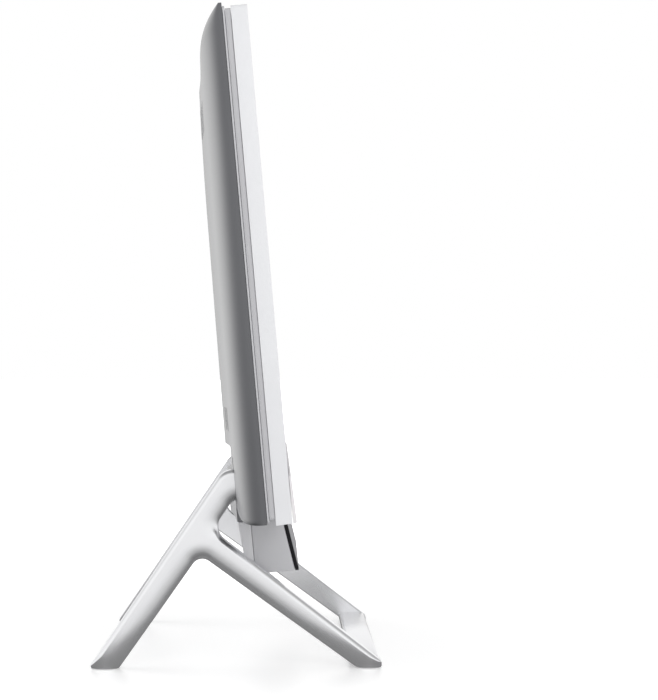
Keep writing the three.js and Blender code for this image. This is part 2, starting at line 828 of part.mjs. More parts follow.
function buildRearCover() {
  const outer = coverBody(0);
  const tongueTop = coverBottom + tongueRoot;
  const shell = without(
    joined(outer, prism('z', tonguePlan(0), tongueBottom, tongueTop)),
    coverBody(coverWall),
    prism('z', tonguePlan(coverWall), tongueBottom + coverWall, tongueTop + coverWall),
  );
  const half = recessSide;
  const recessTop = recessBottom + recessHeight;
  const recessOuter = rectangle(-half - coverWall, half + coverWall, recessBottom - coverWall,
    recessTop + coverWall, recessRadius + coverWall);
  const pocketBlock = prism('y', recessOuter, recessFloor - coverWall, recessFloor + overrun,
    smallArcSteps);
  const pocket = prism('y', rectangle(-half, half, recessBottom, recessTop, recessRadius), recessFloor,
    recessFloor + overrun, smallArcSteps);
  const cuts = [pocket];

  rearSockets.forEach(({ x, width, height }) => {
    cuts.push(block(x - width / 2 - gap, x + width / 2 + gap, recessFloor - overrun, recessFloor + gap,
      socketRowZ - height / 2 - gap, socketRowZ + height / 2 + gap));
  });
  lowSockets.forEach(({ x, width }) => {
    cuts.push(block(x - width / 2 - gap, x + width / 2 + gap, boardBack,
      boardBack + 2 * gap + lowSocketDepth, coverBottom - overrun, coverBottom + 2 * coverWall));
  });
  buttons.forEach(({ x }) => {
    cuts.push(prism('z', rectangle(x - buttonWidth / 2 - gap, x + buttonWidth / 2 + gap,
      buttonY - buttonDepth / 2 - gap, buttonY + buttonDepth / 2 + gap, buttonDepth / 2 + gap),
    coverBottom - overrun, coverBottom + 2 * coverWall, smallArcSteps));
  });
  [-1, 1].forEach((side) => {
    const near = innerSide - slotSideGap;
    const far = standWidth / 2 + slotSideGap;
    const across = [side * near, side * far].sort((a, b) => a - b);
    cuts.push(prism('y', rectangle(...across, -overrun, slotTop, slotTopRadius), slotStart,
      slotStart + overrun, smallArcSteps));
    for (let i = 0; i < intakeCount; i += 1) {
      const x = side * intakeMiddle + (i - (intakeCount - 1) / 2) * intakePitch;
      cuts.push(prism('y', slot(x, intakeBottom, ventWidth, intakeHeight, ventCorner),
        coverRim + coverWall, coverRim + overrun));
    }
  });
  for (let i = 0; i < exhaustCount; i += 1) {
    const x = (i - (exhaustCount - 1) / 2) * exhaustPitch;
    cuts.push(prism('y', slot(x, exhaustBottom, ventWidth, exhaustHeight, ventCorner),
      coverRim + coverWall, coverRim + overrun));
  }
  const cameraSlot = rectangle(-cameraWidth / 2 - cameraSlotGap, cameraWidth / 2 + cameraSlotGap,
    cameraFront - cameraSlotGap, cameraFront + cameraDepth + cameraSlotGap,
    cameraEdgeRadius + cameraSlotGap);
  cuts.push(prism('z', cameraSlot, coverTop - coverTopTaper, coverTop + coverTopTaper, smallArcSteps));
  const cover = without(joined(shell, pocketBlock.intersect(outer)), ...cuts);
  addPiece(displayBody, 'rear_cover', cover, coverSilver);
}

/** A flat ring in the display plane. */
function ringShape(left, right, bottom, top, width, radius) {
  const ring = rectangle(left, right, bottom, top, radius);
  ring.holes.push(rectangle(left + width, right - width, bottom + width, top - width));
  return ring;
}

function buildFront() {
  const windowLeft = bezelWidth - halfWidth;
  const windowTop = displayHeight - bezelWidth;
  const rebateLeft = windowLeft - bezelRebate;
  const rebateBottom = chinHeight - bezelRebate;
  const rebateTop = windowTop + bezelRebate;
  const slab = prism('y', rectangle(-halfWidth, halfWidth, -slabBottomDrop, displayHeight,
    slabCornerRadius), 0, slabDepth);
  const lip = new THREE.Shape();
  lip.moveTo(0, -slabBottomDrop).lineTo(slabDepth, -bottomLipDrop);
  lip.lineTo(slabDepth, bottomLipHeight).lineTo(0, bottomLipHeight);
  const window = block(windowLeft, -windowLeft, -overrun, overrun, chinHeight, windowTop);
  const rebate = block(rebateLeft, -rebateLeft, bezelLip, overrun, rebateBottom, rebateTop);
  const bezel = without(joined(slab, prism('x', lip, -halfWidth, halfWidth)), window, rebate);
  addPiece(displayBody, 'front_bezel', bezel, pearlWhite);

  const chin = new THREE.Shape();
  const chinTop = chinHeight - gap;
  chin.moveTo(-gap, -slabBottomDrop);
  chin.lineTo(-gap, chinTop);
  chin.lineTo(chinEdgeRadius - chinTopProud, chinTop);
  chin.quadraticCurveTo(-chinTopProud, chinTop, -chinTopProud, chinTop - chinEdgeRadius);
  chin.lineTo(-chinBottomProud, chinEdgeRadius - slabBottomDrop);
  chin.quadraticCurveTo(-chinBottomProud, -slabBottomDrop, chinEdgeRadius - chinBottomProud,
    -slabBottomDrop);
  addPiece(displayBody, 'chin_panel', prism('x', chin, -halfWidth, halfWidth, smallArcSteps), warmWhite);

  const sheet = (from, to, inset) => block(rebateLeft + inset, -rebateLeft - inset, from, to,
    rebateBottom + inset, rebateTop - inset);
  addPiece(displayBody, 'cover_glass', sheet(glassFront, glassFront + coverGlassThickness, gap), blackGlass);
  addPiece(displayBody, 'display_panel', sheet(panelFront, panelFront + panelThickness, gap), darkPanel);
  const trayFloor = trayBack - trayThickness;
  const tray = without(sheet(trayFront, trayBack, gap), sheet(-overrun, trayFloor, gap + trayThickness));
  addPiece(displayBody, 'backlight_tray', tray, sheetSteel);
  const guideBack = trayFloor - gap;
  const guide = sheet(guideBack - guideThickness, guideBack, 2 * gap + trayThickness);
  addPiece(displayBody, 'light_guide', guide, clearGuide);
}

/** Places of the chassis bosses that carry boards, fan, fins and drive: x, z and the height. */
function bossPlaces() {
  const low = boardBottom + boardEdge;
  const high = boardTop - boardEdge;
  const side = boardSide - boardEdge;
  const board = [low, (low + high) / 2, high].flatMap((z) => [
    { x: -side, z, height: boardStandoff }, { x: side, z, height: boardStandoff }]);
  const fanReach = fanSize / 2 - fanCornerRadius;
  const fan = [-1, 1].flatMap((across) => [-1, 1].map((up) => ({
    x: fanCentreX + across * fanReach,
    z: fanCentreZ + up * fanReach,
    height: fanFront - gap - chassisBack,
  })));
  const small = [
    { x: sideBoardLeft + boardEdge, z: sideBoardBottom + sideBoardHeight - bossRadius },
    { x: sideBoardLeft + sideBoardWidth - boardEdge, z: sideBoardBottom + sideBoardHeight - bossRadius },
    { x: (powerButtonX + sourceButtonX) / 2, z: buttonBoardBottom() + buttonBoardHeight / 2 },
  ].map((place) => ({ ...place, height: boardStandoff }));
  return [...board, ...fan, ...small];
}

/** Lower edge of the button board: over the switches at the full travel of the buttons. */
function buttonBoardBottom() {
  return coverBottom + coverWall + gap + buttonFlangeThickness + buttonStem + buttonTravel;
}

function buildChassis() {
  const side = halfWidth - chassisRecess;
  const top = displayHeight - chassisRecess;
  const rim = prism('y', ringShape(-side, side, chassisBottom, top, chassisRimWidth, slabCornerRadius),
    chassisFront, chassisBack);
  const plateShape = rectangle(-side, side, chassisBottom, top, slabCornerRadius);
  chassisWindowRowShares.forEach((rowShare) => {
    [-1, 1].forEach((sign) => {
      const x = sign * (halfWidth - chassisWindowSideMargin - chassisWindowWidth / 2);
      const z = displayHeight * rowShare;
      plateShape.holes.push(rectangle(x - chassisWindowWidth / 2, x + chassisWindowWidth / 2,
        z - chassisWindowHeight / 2, z + chassisWindowHeight / 2, chassisWindowRadius));
    });
  });
  const plate = prism('y', plateShape, chassisBack - chassisPlateThickness, chassisBack);
  const bosses = bossPlaces().map(({ x, z, height }) => prism('y', circle(x, z, bossRadius),
    chassisBack - chassisPlateThickness / 2, chassisBack + height, slotSteps));
  const holes = [-1, 1].flatMap((sign) => [bracketScrewLow, bracketScrewHigh].map((z) => screwHole(
    sign * bracketX(), z)));
  addPiece(displayBody, 'chassis_frame', without(joined(rim, plate, ...bosses), ...holes), midGray);

  const trim = ringShape(-halfWidth, halfWidth, trimBottom, displayHeight, trimWidth, slabCornerRadius);
  addPiece(displayBody, 'trim_ring', prism('y', trim, trimFront, trimBack), satinSilver);
}

/** Middle of a hinge bracket across the body. */
function bracketX() {
  return innerSide - gap - washerThickness - gap - bracketWidth / 2;
}

function buildHinges() {
  const leafFront = chassisBack + gap;
  const leafBack = leafFront + bracketThickness;
  [['left', -1], ['right', 1]].forEach(([side, sign]) => {
    const from = sign * bracketX() - bracketWidth / 2;
    const to = from + bracketWidth;
    const knuckle = prism('x', circle(hingeDepth, hingeHeight, shaftRadius + gap + knuckleWall), from, to);
    const web = block(from, to, leafFront, hingeDepth, hingeHeight - bracketWebHeight / 2,
      hingeHeight + bracketWebHeight / 2);
    const leaf = block(from, to, leafFront, leafBack, hingeHeight, bracketTop);
    const bore = prism('x', circle(hingeDepth, hingeHeight, shaftRadius + runningGap), from - gap,
      to + gap);
    const screwPlaces = [bracketScrewLow, bracketScrewHigh];
    const holes = screwPlaces.map((z) => screwHole(sign * bracketX(), z));
    const bracket = without(joined(knuckle, web, leaf), bore, ...holes);
    addPiece(displayBody, `hinge_bracket_${side}`, bracket, sheetSteel);
    screwPlaces.forEach((z, i) => {
      const name = `hinge_screw_${side}_${i === 0 ? 'low' : 'high'}`;
      addPiece(displayBody, name, screwAt(sign * bracketX(), leafBack + gap, z), sheetSteel);
    });
  });
}

/** A thin component lying on the back of the mainboard. */
function onBoard(name, x, z, width, height, thickness, material) {
  const piece = block(x - width / 2, x + width / 2, socketFront, socketFront + thickness,
    z - height / 2, z + height / 2);
  addPiece(displayBody, name, piece, material);
}

function buildBoard() {
  const board = block(-boardSide, boardSide, boardFront, boardBack, boardBottom, boardTop);
  addPiece(displayBody, 'mainboard', board, boardGreen);
  onBoard('processor', processorX, processorZ, processorSize, processorSize, processorThickness, chipBlack);
  const memoryX = cardEdgeMargin + memoryLength / 2 - boardSide;
  const memoryHighZ = boardTop - memoryTopMargin - memoryWidth / 2;
  onBoard('memory_module_low', memoryX, memoryHighZ - memoryWidth - memoryGap, memoryLength, memoryWidth,
    memoryThickness, chipBlack);
  onBoard('memory_module_high', memoryX, memoryHighZ, memoryLength, memoryWidth,
    memoryThickness, chipBlack);
  const cardEnd = boardSide - cardEdgeMargin;
  onBoard('drive_stick', cardEnd - driveStickLength / 2, driveStickZ, driveStickLength, driveStickWidth,
    driveStickThickness, chipBlack);
  onBoard('wireless_card', cardEnd - wirelessLength / 2, wirelessZ, wirelessLength, driveStickWidth,
    driveStickThickness, chipBlack);
  const plateFront = socketFront + processorThickness + gap;
  const plate = block(processorX - coldPlateSize / 2, processorX + coldPlateSize / 2, plateFront,
    plateFront + coldPlateThickness, processorZ - coldPlateSize / 2, processorZ + coldPlateSize / 2);
  addPiece(displayBody, 'cold_plate', plate, copper);
}

/** A curved fan blade from the hub to the ring, as a flat outline round the rotor's middle. */
function bladeOutline(turn) {
  const rootRadius = rotorHubRadius - rotorRingWidth;
  const tipRadius = rotorRadius - rotorRingWidth / 2;
  const outline = [];
  [-0.5, 0.5].forEach((side) => {
    const edge = [];
    for (let i = 0; i <= bladeSteps; i += 1) {
      const share = i / bladeSteps;
      const radius = THREE.MathUtils.lerp(rootRadius, tipRadius, share);
      const spread = side * bladeThickness / radius;
      const angle = turn + THREE.MathUtils.degToRad(bladeSweep) * share ** 2 + spread;
      edge.push(new THREE.Vector2(Math.cos(angle), Math.sin(angle)).multiplyScalar(radius));
    }
    outline.push(...(side < 0 ? edge : edge.reverse()));
  });
  return new THREE.Shape(outline);
}

function buildCooling() {
  const half = fanSize / 2;
  const fanBack = fanFront + fanThickness;
  const outside = rectangle(-half, half, -half, half, fanCornerRadius);
  const housing = prism('y', outside, fanFront, fanBack, smallArcSteps);
  const cavityFront = fanFront + fanWall;
  const cavityBack = fanBack - fanWall;
  const cavity = prism('y', circle(0, 0, fanCavityRadius), cavityFront, cavityBack, fineArcSteps);
  const outlet = block(-fanCavityRadius, fanCavityRadius, cavityFront, cavityBack, 0, fanSize);
  const inlet = prism('y', circle(0, 0, fanInletRadius), cavityFront, fanBack + fanWall, fineArcSteps);
  const bearing = prism('y', circle(0, 0, fanBearingRadius), fanFront, cavityFront + fanBearingHeight);
  const fan = new THREE.Group();
  fan.position.set(fanCentreX, 0, fanCentreZ);
  displayBody.add(fan);
  addPiece(fan, 'fan_housing', joined(without(housing, cavity, outlet, inlet), bearing), fanBlack);

  const rotorFront = cavityFront + fanBearingHeight / 2 + gap;
  const rotorBack = rotorFront + rotorHeight;
  const hub = prism('y', circle(0, 0, rotorHubRadius), rotorFront, rotorBack);
  const socket = prism('y', circle(0, 0, fanBearingRadius + runningGap), rotorFront - gap,
    cavityFront + fanBearingHeight + gap);
  const ringPlan = circle(0, 0, rotorRadius);
  ringPlan.holes.push(circle(0, 0, rotorRadius - rotorRingWidth));
  const ring = prism('y', ringPlan, rotorFront, rotorFront + rotorRingWidth, fineArcSteps);
  const blades = [];
  for (let i = 0; i < bladeCount; i += 1) {
    blades.push(prism('y', bladeOutline(2 * Math.PI * i / bladeCount), rotorFront, rotorBack));
  }
  addPiece(fan, 'fan_rotor', without(joined(hub, ring, ...blades), socket), fanBlack);

  const finBottom = half + gap;
  const pipeFront = socketFront + processorThickness + gap + coldPlateThickness + gap;
  const finTop = finBottom + finBlockHeight;
  const finBlock = [block(-half, half, fanFront, fanFront + finBase, finBottom, finTop)];
  for (let i = 0; i < finCount; i += 1) {
    const x = -half + finThickness / 2 + (fanSize - finThickness) * i / (finCount - 1);
    finBlock.push(block(x - finThickness / 2, x + finThickness / 2, fanFront, fanFront + finBlockDepth,
      finBottom, finTop));
  }
  const pipeZ = (finBottom + finTop) / 2;
  const channel = block(-fanSize, fanSize, pipeFront - gap, pipeFront + overrun,
    pipeZ - pipeWidth / 2 - gap, pipeZ + pipeWidth / 2 + gap);
  addPiece(fan, 'fin_stack', without(joined(...finBlock), channel), aluminium);

  const run = roundedRun([
    [processorX - coldPlateSize / 2, processorZ],
    [pipeRiseX, processorZ],
    [pipeRiseX, fanCentreZ + pipeZ],
    [fanCentreX + half, fanCentreZ + pipeZ],
  ], pipeWidth, pipeBend);
  const pipe = prism('y', run, pipeFront, pipeFront + pipeThickness, smallArcSteps);
  addPiece(displayBody, 'heat_pipe', pipe, copper);
}

/** A band of even width along square turns, with each turn rounded. */
function roundedRun(route, width, bend) {
  const points = route.map(([x, z]) => new THREE.Vector2(x, z));
  const side = (offset) => {
    const line = [points[0].clone().add(new THREE.Vector2(0, offset))];
    for (let i = 1; i + 1 < points.length; i += 1) {
      const before = points[i].clone().sub(points[i - 1]).normalize();
      const after = points[i + 1].clone().sub(points[i]).normalize();
      const turn = Math.sign(before.cross(after));
      const normal = new THREE.Vector2(-before.y, before.x);
      const start = points[i].clone().addScaledVector(before, -bend);
      const centre = start.clone().addScaledVector(normal, turn * bend);
      const first = start.clone().addScaledVector(normal, offset);
      for (let step = 0; step <= cornerSteps; step += 1) {
        line.push(first.clone().rotateAround(centre, turn * Math.PI / 2 * step / cornerSteps));
      }
    }
    line.push(points.at(-1).clone().add(new THREE.Vector2(0, offset)));
    return line;
  };
  return new THREE.Shape([...side(-width / 2), ...side(width / 2).reverse()]);
}

function buildDrive() {
  const left = driveSideMargin - halfWidth;
  const right = left + driveWidth;
  const bottom = bracketTop + driveBracketGap;
  const top = bottom + driveHeight;
  const trayFrontFace = chassisBack + gap;
  const floorBack = trayFrontFace + trayFlangeThickness;
  const margin = gap + trayFlangeThickness;
  const flangeBack = floorBack + gap + trayFlangeHeight;
  const floor = block(left - margin, right + margin, trayFrontFace, floorBack, bottom, top);
  const leftFlange = block(left - margin, left - gap, trayFrontFace, flangeBack, bottom, top);
  const rightFlange = block(right + gap, right + margin, trayFrontFace, flangeBack, bottom, top);
  addPiece(displayBody, 'drive_tray', joined(floor, leftFlange, rightFlange), sheetSteel);
  const drive = block(left, right, floorBack + gap, floorBack + gap + driveThickness, bottom, top);
  addPiece(displayBody, 'hard_drive', drive, aluminium);
}

/** A socket that opens to the back: a can with a hollow and, where given, tongues across it. */
function rearSocket({ x, width, height }, openings) {
  const can = block(x - width / 2, x + width / 2, socketFront, socketBack, socketRowZ - height / 2,
    socketRowZ + height / 2);
  const floor = socketFront + socketFloor;
  const hollows = openings.map(([low, high]) => block(x - width / 2 + socketWall,
    x + width / 2 - socketWall, floor, socketBack + gap, low, high));
  const tongues = openings.map(([low, high]) => block(x - width / 2 + 2 * socketWall,
    x + width / 2 - 2 * socketWall, floor - gap, socketBack - tongueShort,
    (low + high - tongueThickness) / 2, (low + high + tongueThickness) / 2));
  return joined(without(can, ...hollows), ...tongues);
}

function buildRearSockets() {
  const byName = Object.fromEntries(rearSockets.map((socket) => [socket.name, socket]));
  const power = byName.power_inlet;
  const can = block(power.x - power.width / 2, power.x + power.width / 2, socketFront, socketBack,
    socketRowZ - power.height / 2, socketRowZ + power.height / 2);
  const floor = socketFront + socketFloor;
  const bore = prism('y', circle(power.x, socketRowZ, powerSocketRadius), floor, socketBack + gap);
  const pin = prism('y', circle(power.x, socketRowZ, powerPinRadius), floor - gap,
    socketBack - tongueShort, smallArcSteps);
  addPiece(displayBody, 'power_inlet', joined(without(can, bore), pin), fanBlack);

  const network = byName.network_socket;
  const body = block(network.x - network.width / 2, network.x + network.width / 2, socketFront,
    socketBack, socketRowZ - network.height / 2, socketRowZ + network.height / 2);
  const inside = block(network.x - network.width / 2 + 2 * socketWall,
    network.x + network.width / 2 - 2 * socketWall, floor, socketBack + gap,
    socketRowZ - network.height / 2 + 2 * socketWall, socketRowZ + network.height / 2 - 2 * socketWall);
  addPiece(displayBody, 'network_socket', without(body, inside), sheetSteel);

  ['picture_in_socket', 'picture_out_socket'].forEach((name) => {
    const low = socketRowZ - pictureSocketHeight / 2 + socketWall;
    const high = socketRowZ + pictureSocketHeight / 2 - socketWall;
    addPiece(displayBody, name, rearSocket(byName[name], [[low, high]]), sheetSteel);
  });
  ['usb_sockets_right', 'usb_sockets_left'].forEach((name) => {
    const reach = usbSocketHeight / 2 - socketWall;
    const openings = [[socketRowZ - reach, socketRowZ - socketWall / 2],
      [socketRowZ + socketWall / 2, socketRowZ + reach]];
    addPiece(displayBody, name, rearSocket(byName[name], openings), sheetSteel);
  });
}

function buildSideBoard() {
  const board = block(sideBoardLeft, sideBoardLeft + sideBoardWidth, boardFront, boardBack,
    sideBoardBottom, sideBoardBottom + sideBoardHeight);
  addPiece(displayBody, 'side_board', board, boardGreen);
  const mouth = coverBottom + gap;
  const middle = socketFront + lowSocketDepth / 2;
  lowSockets.forEach(({ name, x, width }) => {
    const can = block(x - width / 2, x + width / 2, socketFront, socketFront + lowSocketDepth, mouth,
      mouth + lowSocketLength);
    const hollow = name === 'headset_socket'
      ? prism('z', circle(x, middle, headsetRadius), mouth - gap, mouth + lowSocketLength - socketFloor,
        smallArcSteps)
      : block(x - width / 2 + socketWall, x + width / 2 - socketWall, middle - lowSocketGap / 2,
        middle + lowSocketGap / 2, mouth - gap, mouth + lowSocketLength - socketFloor);
    addPiece(displayBody, name, without(can, hollow), name === 'headset_socket' ? fanBlack : sheetSteel);
  });
}

function buildButtons() {
  const flangeBottom = coverBottom + coverWall + gap;
  buttons.forEach(({ name, x }) => {
    const plan = (margin) => rectangle(x - buttonWidth / 2 - margin, x + buttonWidth / 2 + margin,
      buttonY - buttonDepth / 2 - margin, buttonY + buttonDepth / 2 + margin, buttonDepth / 2 + margin);
    const cap = prism('z', plan(0), coverBottom - buttonProud, flangeBottom + gap, smallArcSteps);
    const flange = prism('z', plan(buttonFlange), flangeBottom, flangeBottom + buttonFlangeThickness,
      smallArcSteps);
    const stem = prism('z', circle(x, buttonY, switchSize / 2), flangeBottom,
      flangeBottom + buttonFlangeThickness + buttonStem - gap, smallArcSteps);
    addPiece(displayBody, name, joined(cap, flange, stem), satinSilver);
  });
  const bottom = buttonBoardBottom();
  const middle = (powerButtonX + sourceButtonX) / 2;
  const board = block(middle - buttonBoardWidth / 2, middle + buttonBoardWidth / 2, boardFront, boardBack,
    bottom, bottom + buttonBoardHeight);
  const switches = buttons.map(({ x }) => block(x - switchSize, x + switchSize, boardBack - gap,
    buttonY + switchSize / 2, bottom, bottom + switchHeight));
  addPiece(displayBody, 'button_board', joined(board, ...switches), boardGreen);
}

function buildCamera() {
  const bottom = cameraTop - cameraHeight;
  const back = cameraFront + cameraDepth;
  const half = cameraWidth / 2;
  const lensZ = cameraTop - lensDrop;
  const body = prism('z', rectangle(-half, half, cameraFront, back, cameraEdgeRadius), bottom, cameraTop,
    smallArcSteps);
  const pocket = prism('y', circle(0, lensZ, lensRadius + gap), cameraFront - gap,
    cameraFront + lensDepth + gap);
  addPiece(displayBody, 'camera_carriage', without(body, pocket), satinSilver);
  const lens = prism('y', circle(0, lensZ, lensRadius), cameraFront, cameraFront + lensDepth);
  addPiece(displayBody, 'camera_lens', lens, blackGlass);

  const guideSide = half + gap + guideWall;
  const guideFront = chassisBack + gap;
  const outside = block(-guideSide, guideSide, guideFront, back + gap + guideWall, guideTop - guideHeight,
    guideTop);
  const channel = block(-half - gap, half + gap, cameraFront - gap, back + gap, bottom - gap,
    guideTop + gap);
  const rail = block(-half + guideWall, half - guideWall, -overrun, cameraFront - guideWall,
    guideTop - guideHeight - gap, guideTop + gap);
  addPiece(displayBody, 'camera_guide', without(outside, channel, rail), fanBlack);
}

/** Depth of the sound bar's slanted front plane at a height, moved back by an offset. */
function barFront(z, offset = 0) {
  const slant = THREE.MathUtils.degToRad(barFrontSlant);
  return barFrontTopDepth + (z - barTop) * Math.tan(slant) + offset / Math.cos(slant);
}

/** Section of the sound bar between two offsets behind its front plane, less a margin. */
function barLayer(near, far, margin = 0) {
  const low = barBottom + margin;
  const high = barTop - margin;
  const shape = new THREE.Shape();
  shape.moveTo(barFront(low, near), low).lineTo(barFront(low, far), low);
  shape.lineTo(barFront(high, far), high).lineTo(barFront(high, near), high);
  return shape;
}

function buildSoundBar() {
  const half = innerSide - barSideGap;
  const front = gasketThickness + gap;
  const outside = new THREE.Shape();
  outside.moveTo(barFront(barBottom, front), barBottom);
  outside.lineTo(barSeamDepth, barBottom);
  outside.lineTo(barSeamDepth, barStepTop);
  outside.lineTo(barStepDepth, barStepTop);
  outside.lineTo(barStepDepth, barTop);
  outside.lineTo(barFront(barTop, front), barTop);
  const inside = new THREE.Shape();
  const low = barBottom + barWall;
  const high = barTop - barWall;
  inside.moveTo(barFront(low, -front), low).lineTo(barSeamDepth - barWall, low);
  inside.lineTo(barSeamDepth - barWall, high).lineTo(barFront(high, -front), high);
  const hollow = prism('x', inside, barWall - half, half - barWall);
  const housing = without(prism('x', outside, -half, half), hollow);
  addPiece(displayBody, 'sound_bar_housing', housing, midGray);

  const ring = without(prism('x', barLayer(0, gasketThickness), -half, half),
    prism('x', barLayer(-overrun, overrun, gasketRim), gasketRim - half, half - gasketRim));
  addPiece(displayBody, 'sound_bar_gasket', ring, rubberDark);

  const grilleMargin = gasketRim + gap;
  const grilleHalf = half - grilleMargin;
  let grille = prism('x', barLayer(0, grilleThickness, grilleMargin), -grilleHalf, grilleHalf);
  const pitchX = 2 * grilleHalf / grilleColumns;
  const pitchZ = grilleHoleHeight + grilleHoleGap;
  const middleZ = (barTop + barBottom) / 2;
  for (let row = 0; row < grilleRows; row += 1) {
    for (let column = 0; column < grilleColumns; column += 1) {
      const x = (column - (grilleColumns - 1) / 2) * pitchX;
      const z = middleZ + (row - (grilleRows - 1) / 2) * pitchZ;
      grille = grille.subtract(block(x - grilleHoleWidth / 2, x + grilleHoleWidth / 2, -overrun, overrun,
        z - grilleHoleHeight / 2, z + grilleHoleHeight / 2));
    }
  }
  addPiece(displayBody, 'sound_bar_grille', grille, grilleGray);

  const back = new THREE.Shape();
  const seam = barSeamDepth + gap;
  back.moveTo(seam, barBottom).lineTo(barBackBottomDepth - barBackTopRadius, barBottom);
  back.quadraticCurveTo(barBackBottomDepth, barBottom, barBackBottomDepth + barBackTopRadius,
    barBottom + barBackRadius);
  back.lineTo(barBackTopDepth, barBackTop - barBackTopRadius);
  back.lineTo(barBackTopDepth - barBackTopRadius, barBackTop).lineTo(seam, barBackTop);
  addPiece(displayBody, 'sound_bar_back', prism('x', back, -half, half, smallArcSteps), coverSilver);

  const speakerBack = barSeamDepth - barWall - gap;
  [['left', -1], ['right', 1]].forEach(([side, sign]) => {
    const x = sign * (half - barWall - speakerSideMargin - speakerWidth / 2);
    const top = high - gap;
    const box = block(x - speakerWidth / 2, x + speakerWidth / 2, speakerBack - speakerDepth,
      speakerBack, low + gap, top);
    const cone = prism('y', circle(x, (low + top) / 2, speakerConeRadius), speakerBack - speakerDepth - gap,
      speakerBack - speakerDepth + speakerConeDepth);
    addPiece(displayBody, `speaker_${side}`, without(box, cone), chipBlack);
  });
}

buildStand();
buildFront();
buildChassis();
buildRearCover();
buildHinges();
buildBoard();
buildCooling();
buildDrive();
buildRearSockets();
buildSideBoard();
buildButtons();
buildCamera();
buildSoundBar();

export default computer;
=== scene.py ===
"""Looks of an all-in-one desktop computer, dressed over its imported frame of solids."""

from __future__ import annotations

import logging
import math
from dataclasses import dataclass
from enum import Enum
from typing import Iterable, Sequence

import bmesh
import bpy
from mathutils import Matrix, Vector
from mathutils.geometry import delaunay_2d_cdt, intersect_point_line

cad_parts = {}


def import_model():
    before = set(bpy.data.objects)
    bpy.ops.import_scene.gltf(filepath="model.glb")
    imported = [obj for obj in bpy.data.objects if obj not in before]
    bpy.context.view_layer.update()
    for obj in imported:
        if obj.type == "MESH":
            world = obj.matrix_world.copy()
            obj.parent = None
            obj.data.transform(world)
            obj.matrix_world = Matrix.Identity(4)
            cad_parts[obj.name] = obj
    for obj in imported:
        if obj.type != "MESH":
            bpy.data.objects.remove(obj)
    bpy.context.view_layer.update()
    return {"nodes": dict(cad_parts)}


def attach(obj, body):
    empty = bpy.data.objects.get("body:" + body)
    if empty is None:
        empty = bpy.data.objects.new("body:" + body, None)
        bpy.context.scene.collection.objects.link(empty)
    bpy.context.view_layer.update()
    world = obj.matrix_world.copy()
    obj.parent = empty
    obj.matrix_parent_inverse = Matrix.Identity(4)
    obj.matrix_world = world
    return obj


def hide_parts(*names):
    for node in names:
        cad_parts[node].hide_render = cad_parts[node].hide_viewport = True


LOG = logging.getLogger("dressing")

Piece = bpy.types.Object
Tree = bpy.types.NodeTree
Socket = bpy.types.NodeSocket
Point = tuple[float, float]
Triple = tuple[float, float, float]

# Shared sizes, in millimetres, and MM, which is one millimetre in metres

MM = 0.001
GAP = 0.3
WELD = 0.01
LEAN_DEGREES = 5.04
FRONT_PLANE = Vector((0.0, -43.9, 131.2))
DISPLAY_PLACE = Matrix.Translation(FRONT_PLANE) @ Matrix.Rotation(-math.radians(LEAN_DEGREES), 4, "X")
DISPLAY_WIDTH = 612.5
DISPLAY_HEIGHT = 377.0
HALF_WIDTH = DISPLAY_WIDTH / 2
STAND_WIDTH = 300.0
FRAME_THICKNESS = 16.0
INNER_SIDE = STAND_WIDTH / 2 - FRAME_THICKNESS
HINGE_DEPTH = 29.0
HINGE_HEIGHT = 19.0
HINGE_POINT = DISPLAY_PLACE @ Vector((0.0, HINGE_DEPTH, HINGE_HEIGHT))
SHAFT_RADIUS = 5.0

# Solids that the rear cover has an opening for

REAR_SOCKETS = ("power_inlet", "network_socket", "picture_in_socket", "picture_out_socket",
                "usb_sockets_right", "usb_sockets_left")
LOW_SOCKETS = ("headset_socket", "small_usb_socket", "card_slot")
KEYS = ("power_button", "source_button")


class Body(str, Enum):
    """The bodies that a new piece can ride on."""

    STAND = "stand"
    DISPLAY = "display"
    CAMERA = "camera"
    POWER_KEY = "power_key"
    SOURCE_KEY = "source_key"

    @property
    def place(self) -> Matrix:
        """Where the body's own millimetres lie at rest."""
        return Matrix() if self is Body.STAND else DISPLAY_PLACE


class Side(Enum):
    """The two sides of the product, as the sign of X."""

    LEFT = -1
    RIGHT = 1

    @property
    def word(self) -> str:
        """The side's name as the nodes spell it."""
        return self.name.lower()


class Axis(Enum):
    """The axis that a flat outline is swept along."""

    X = "x"
    Y = "y"
    Z = "z"

    def place(self, point: Point, along: float) -> Vector:
        """Sets a flat point into space at a distance along the axis.

        Args:
            point: The two other coordinates, in X, Y, Z order.
            along: The coordinate on the axis.

        Returns:
            The point in space.
        """
        u, v = point
        if self is Axis.X:
            return Vector((along, u, v))
        if self is Axis.Y:
            return Vector((u, along, v))
        return Vector((u, v, along))


# Finishes


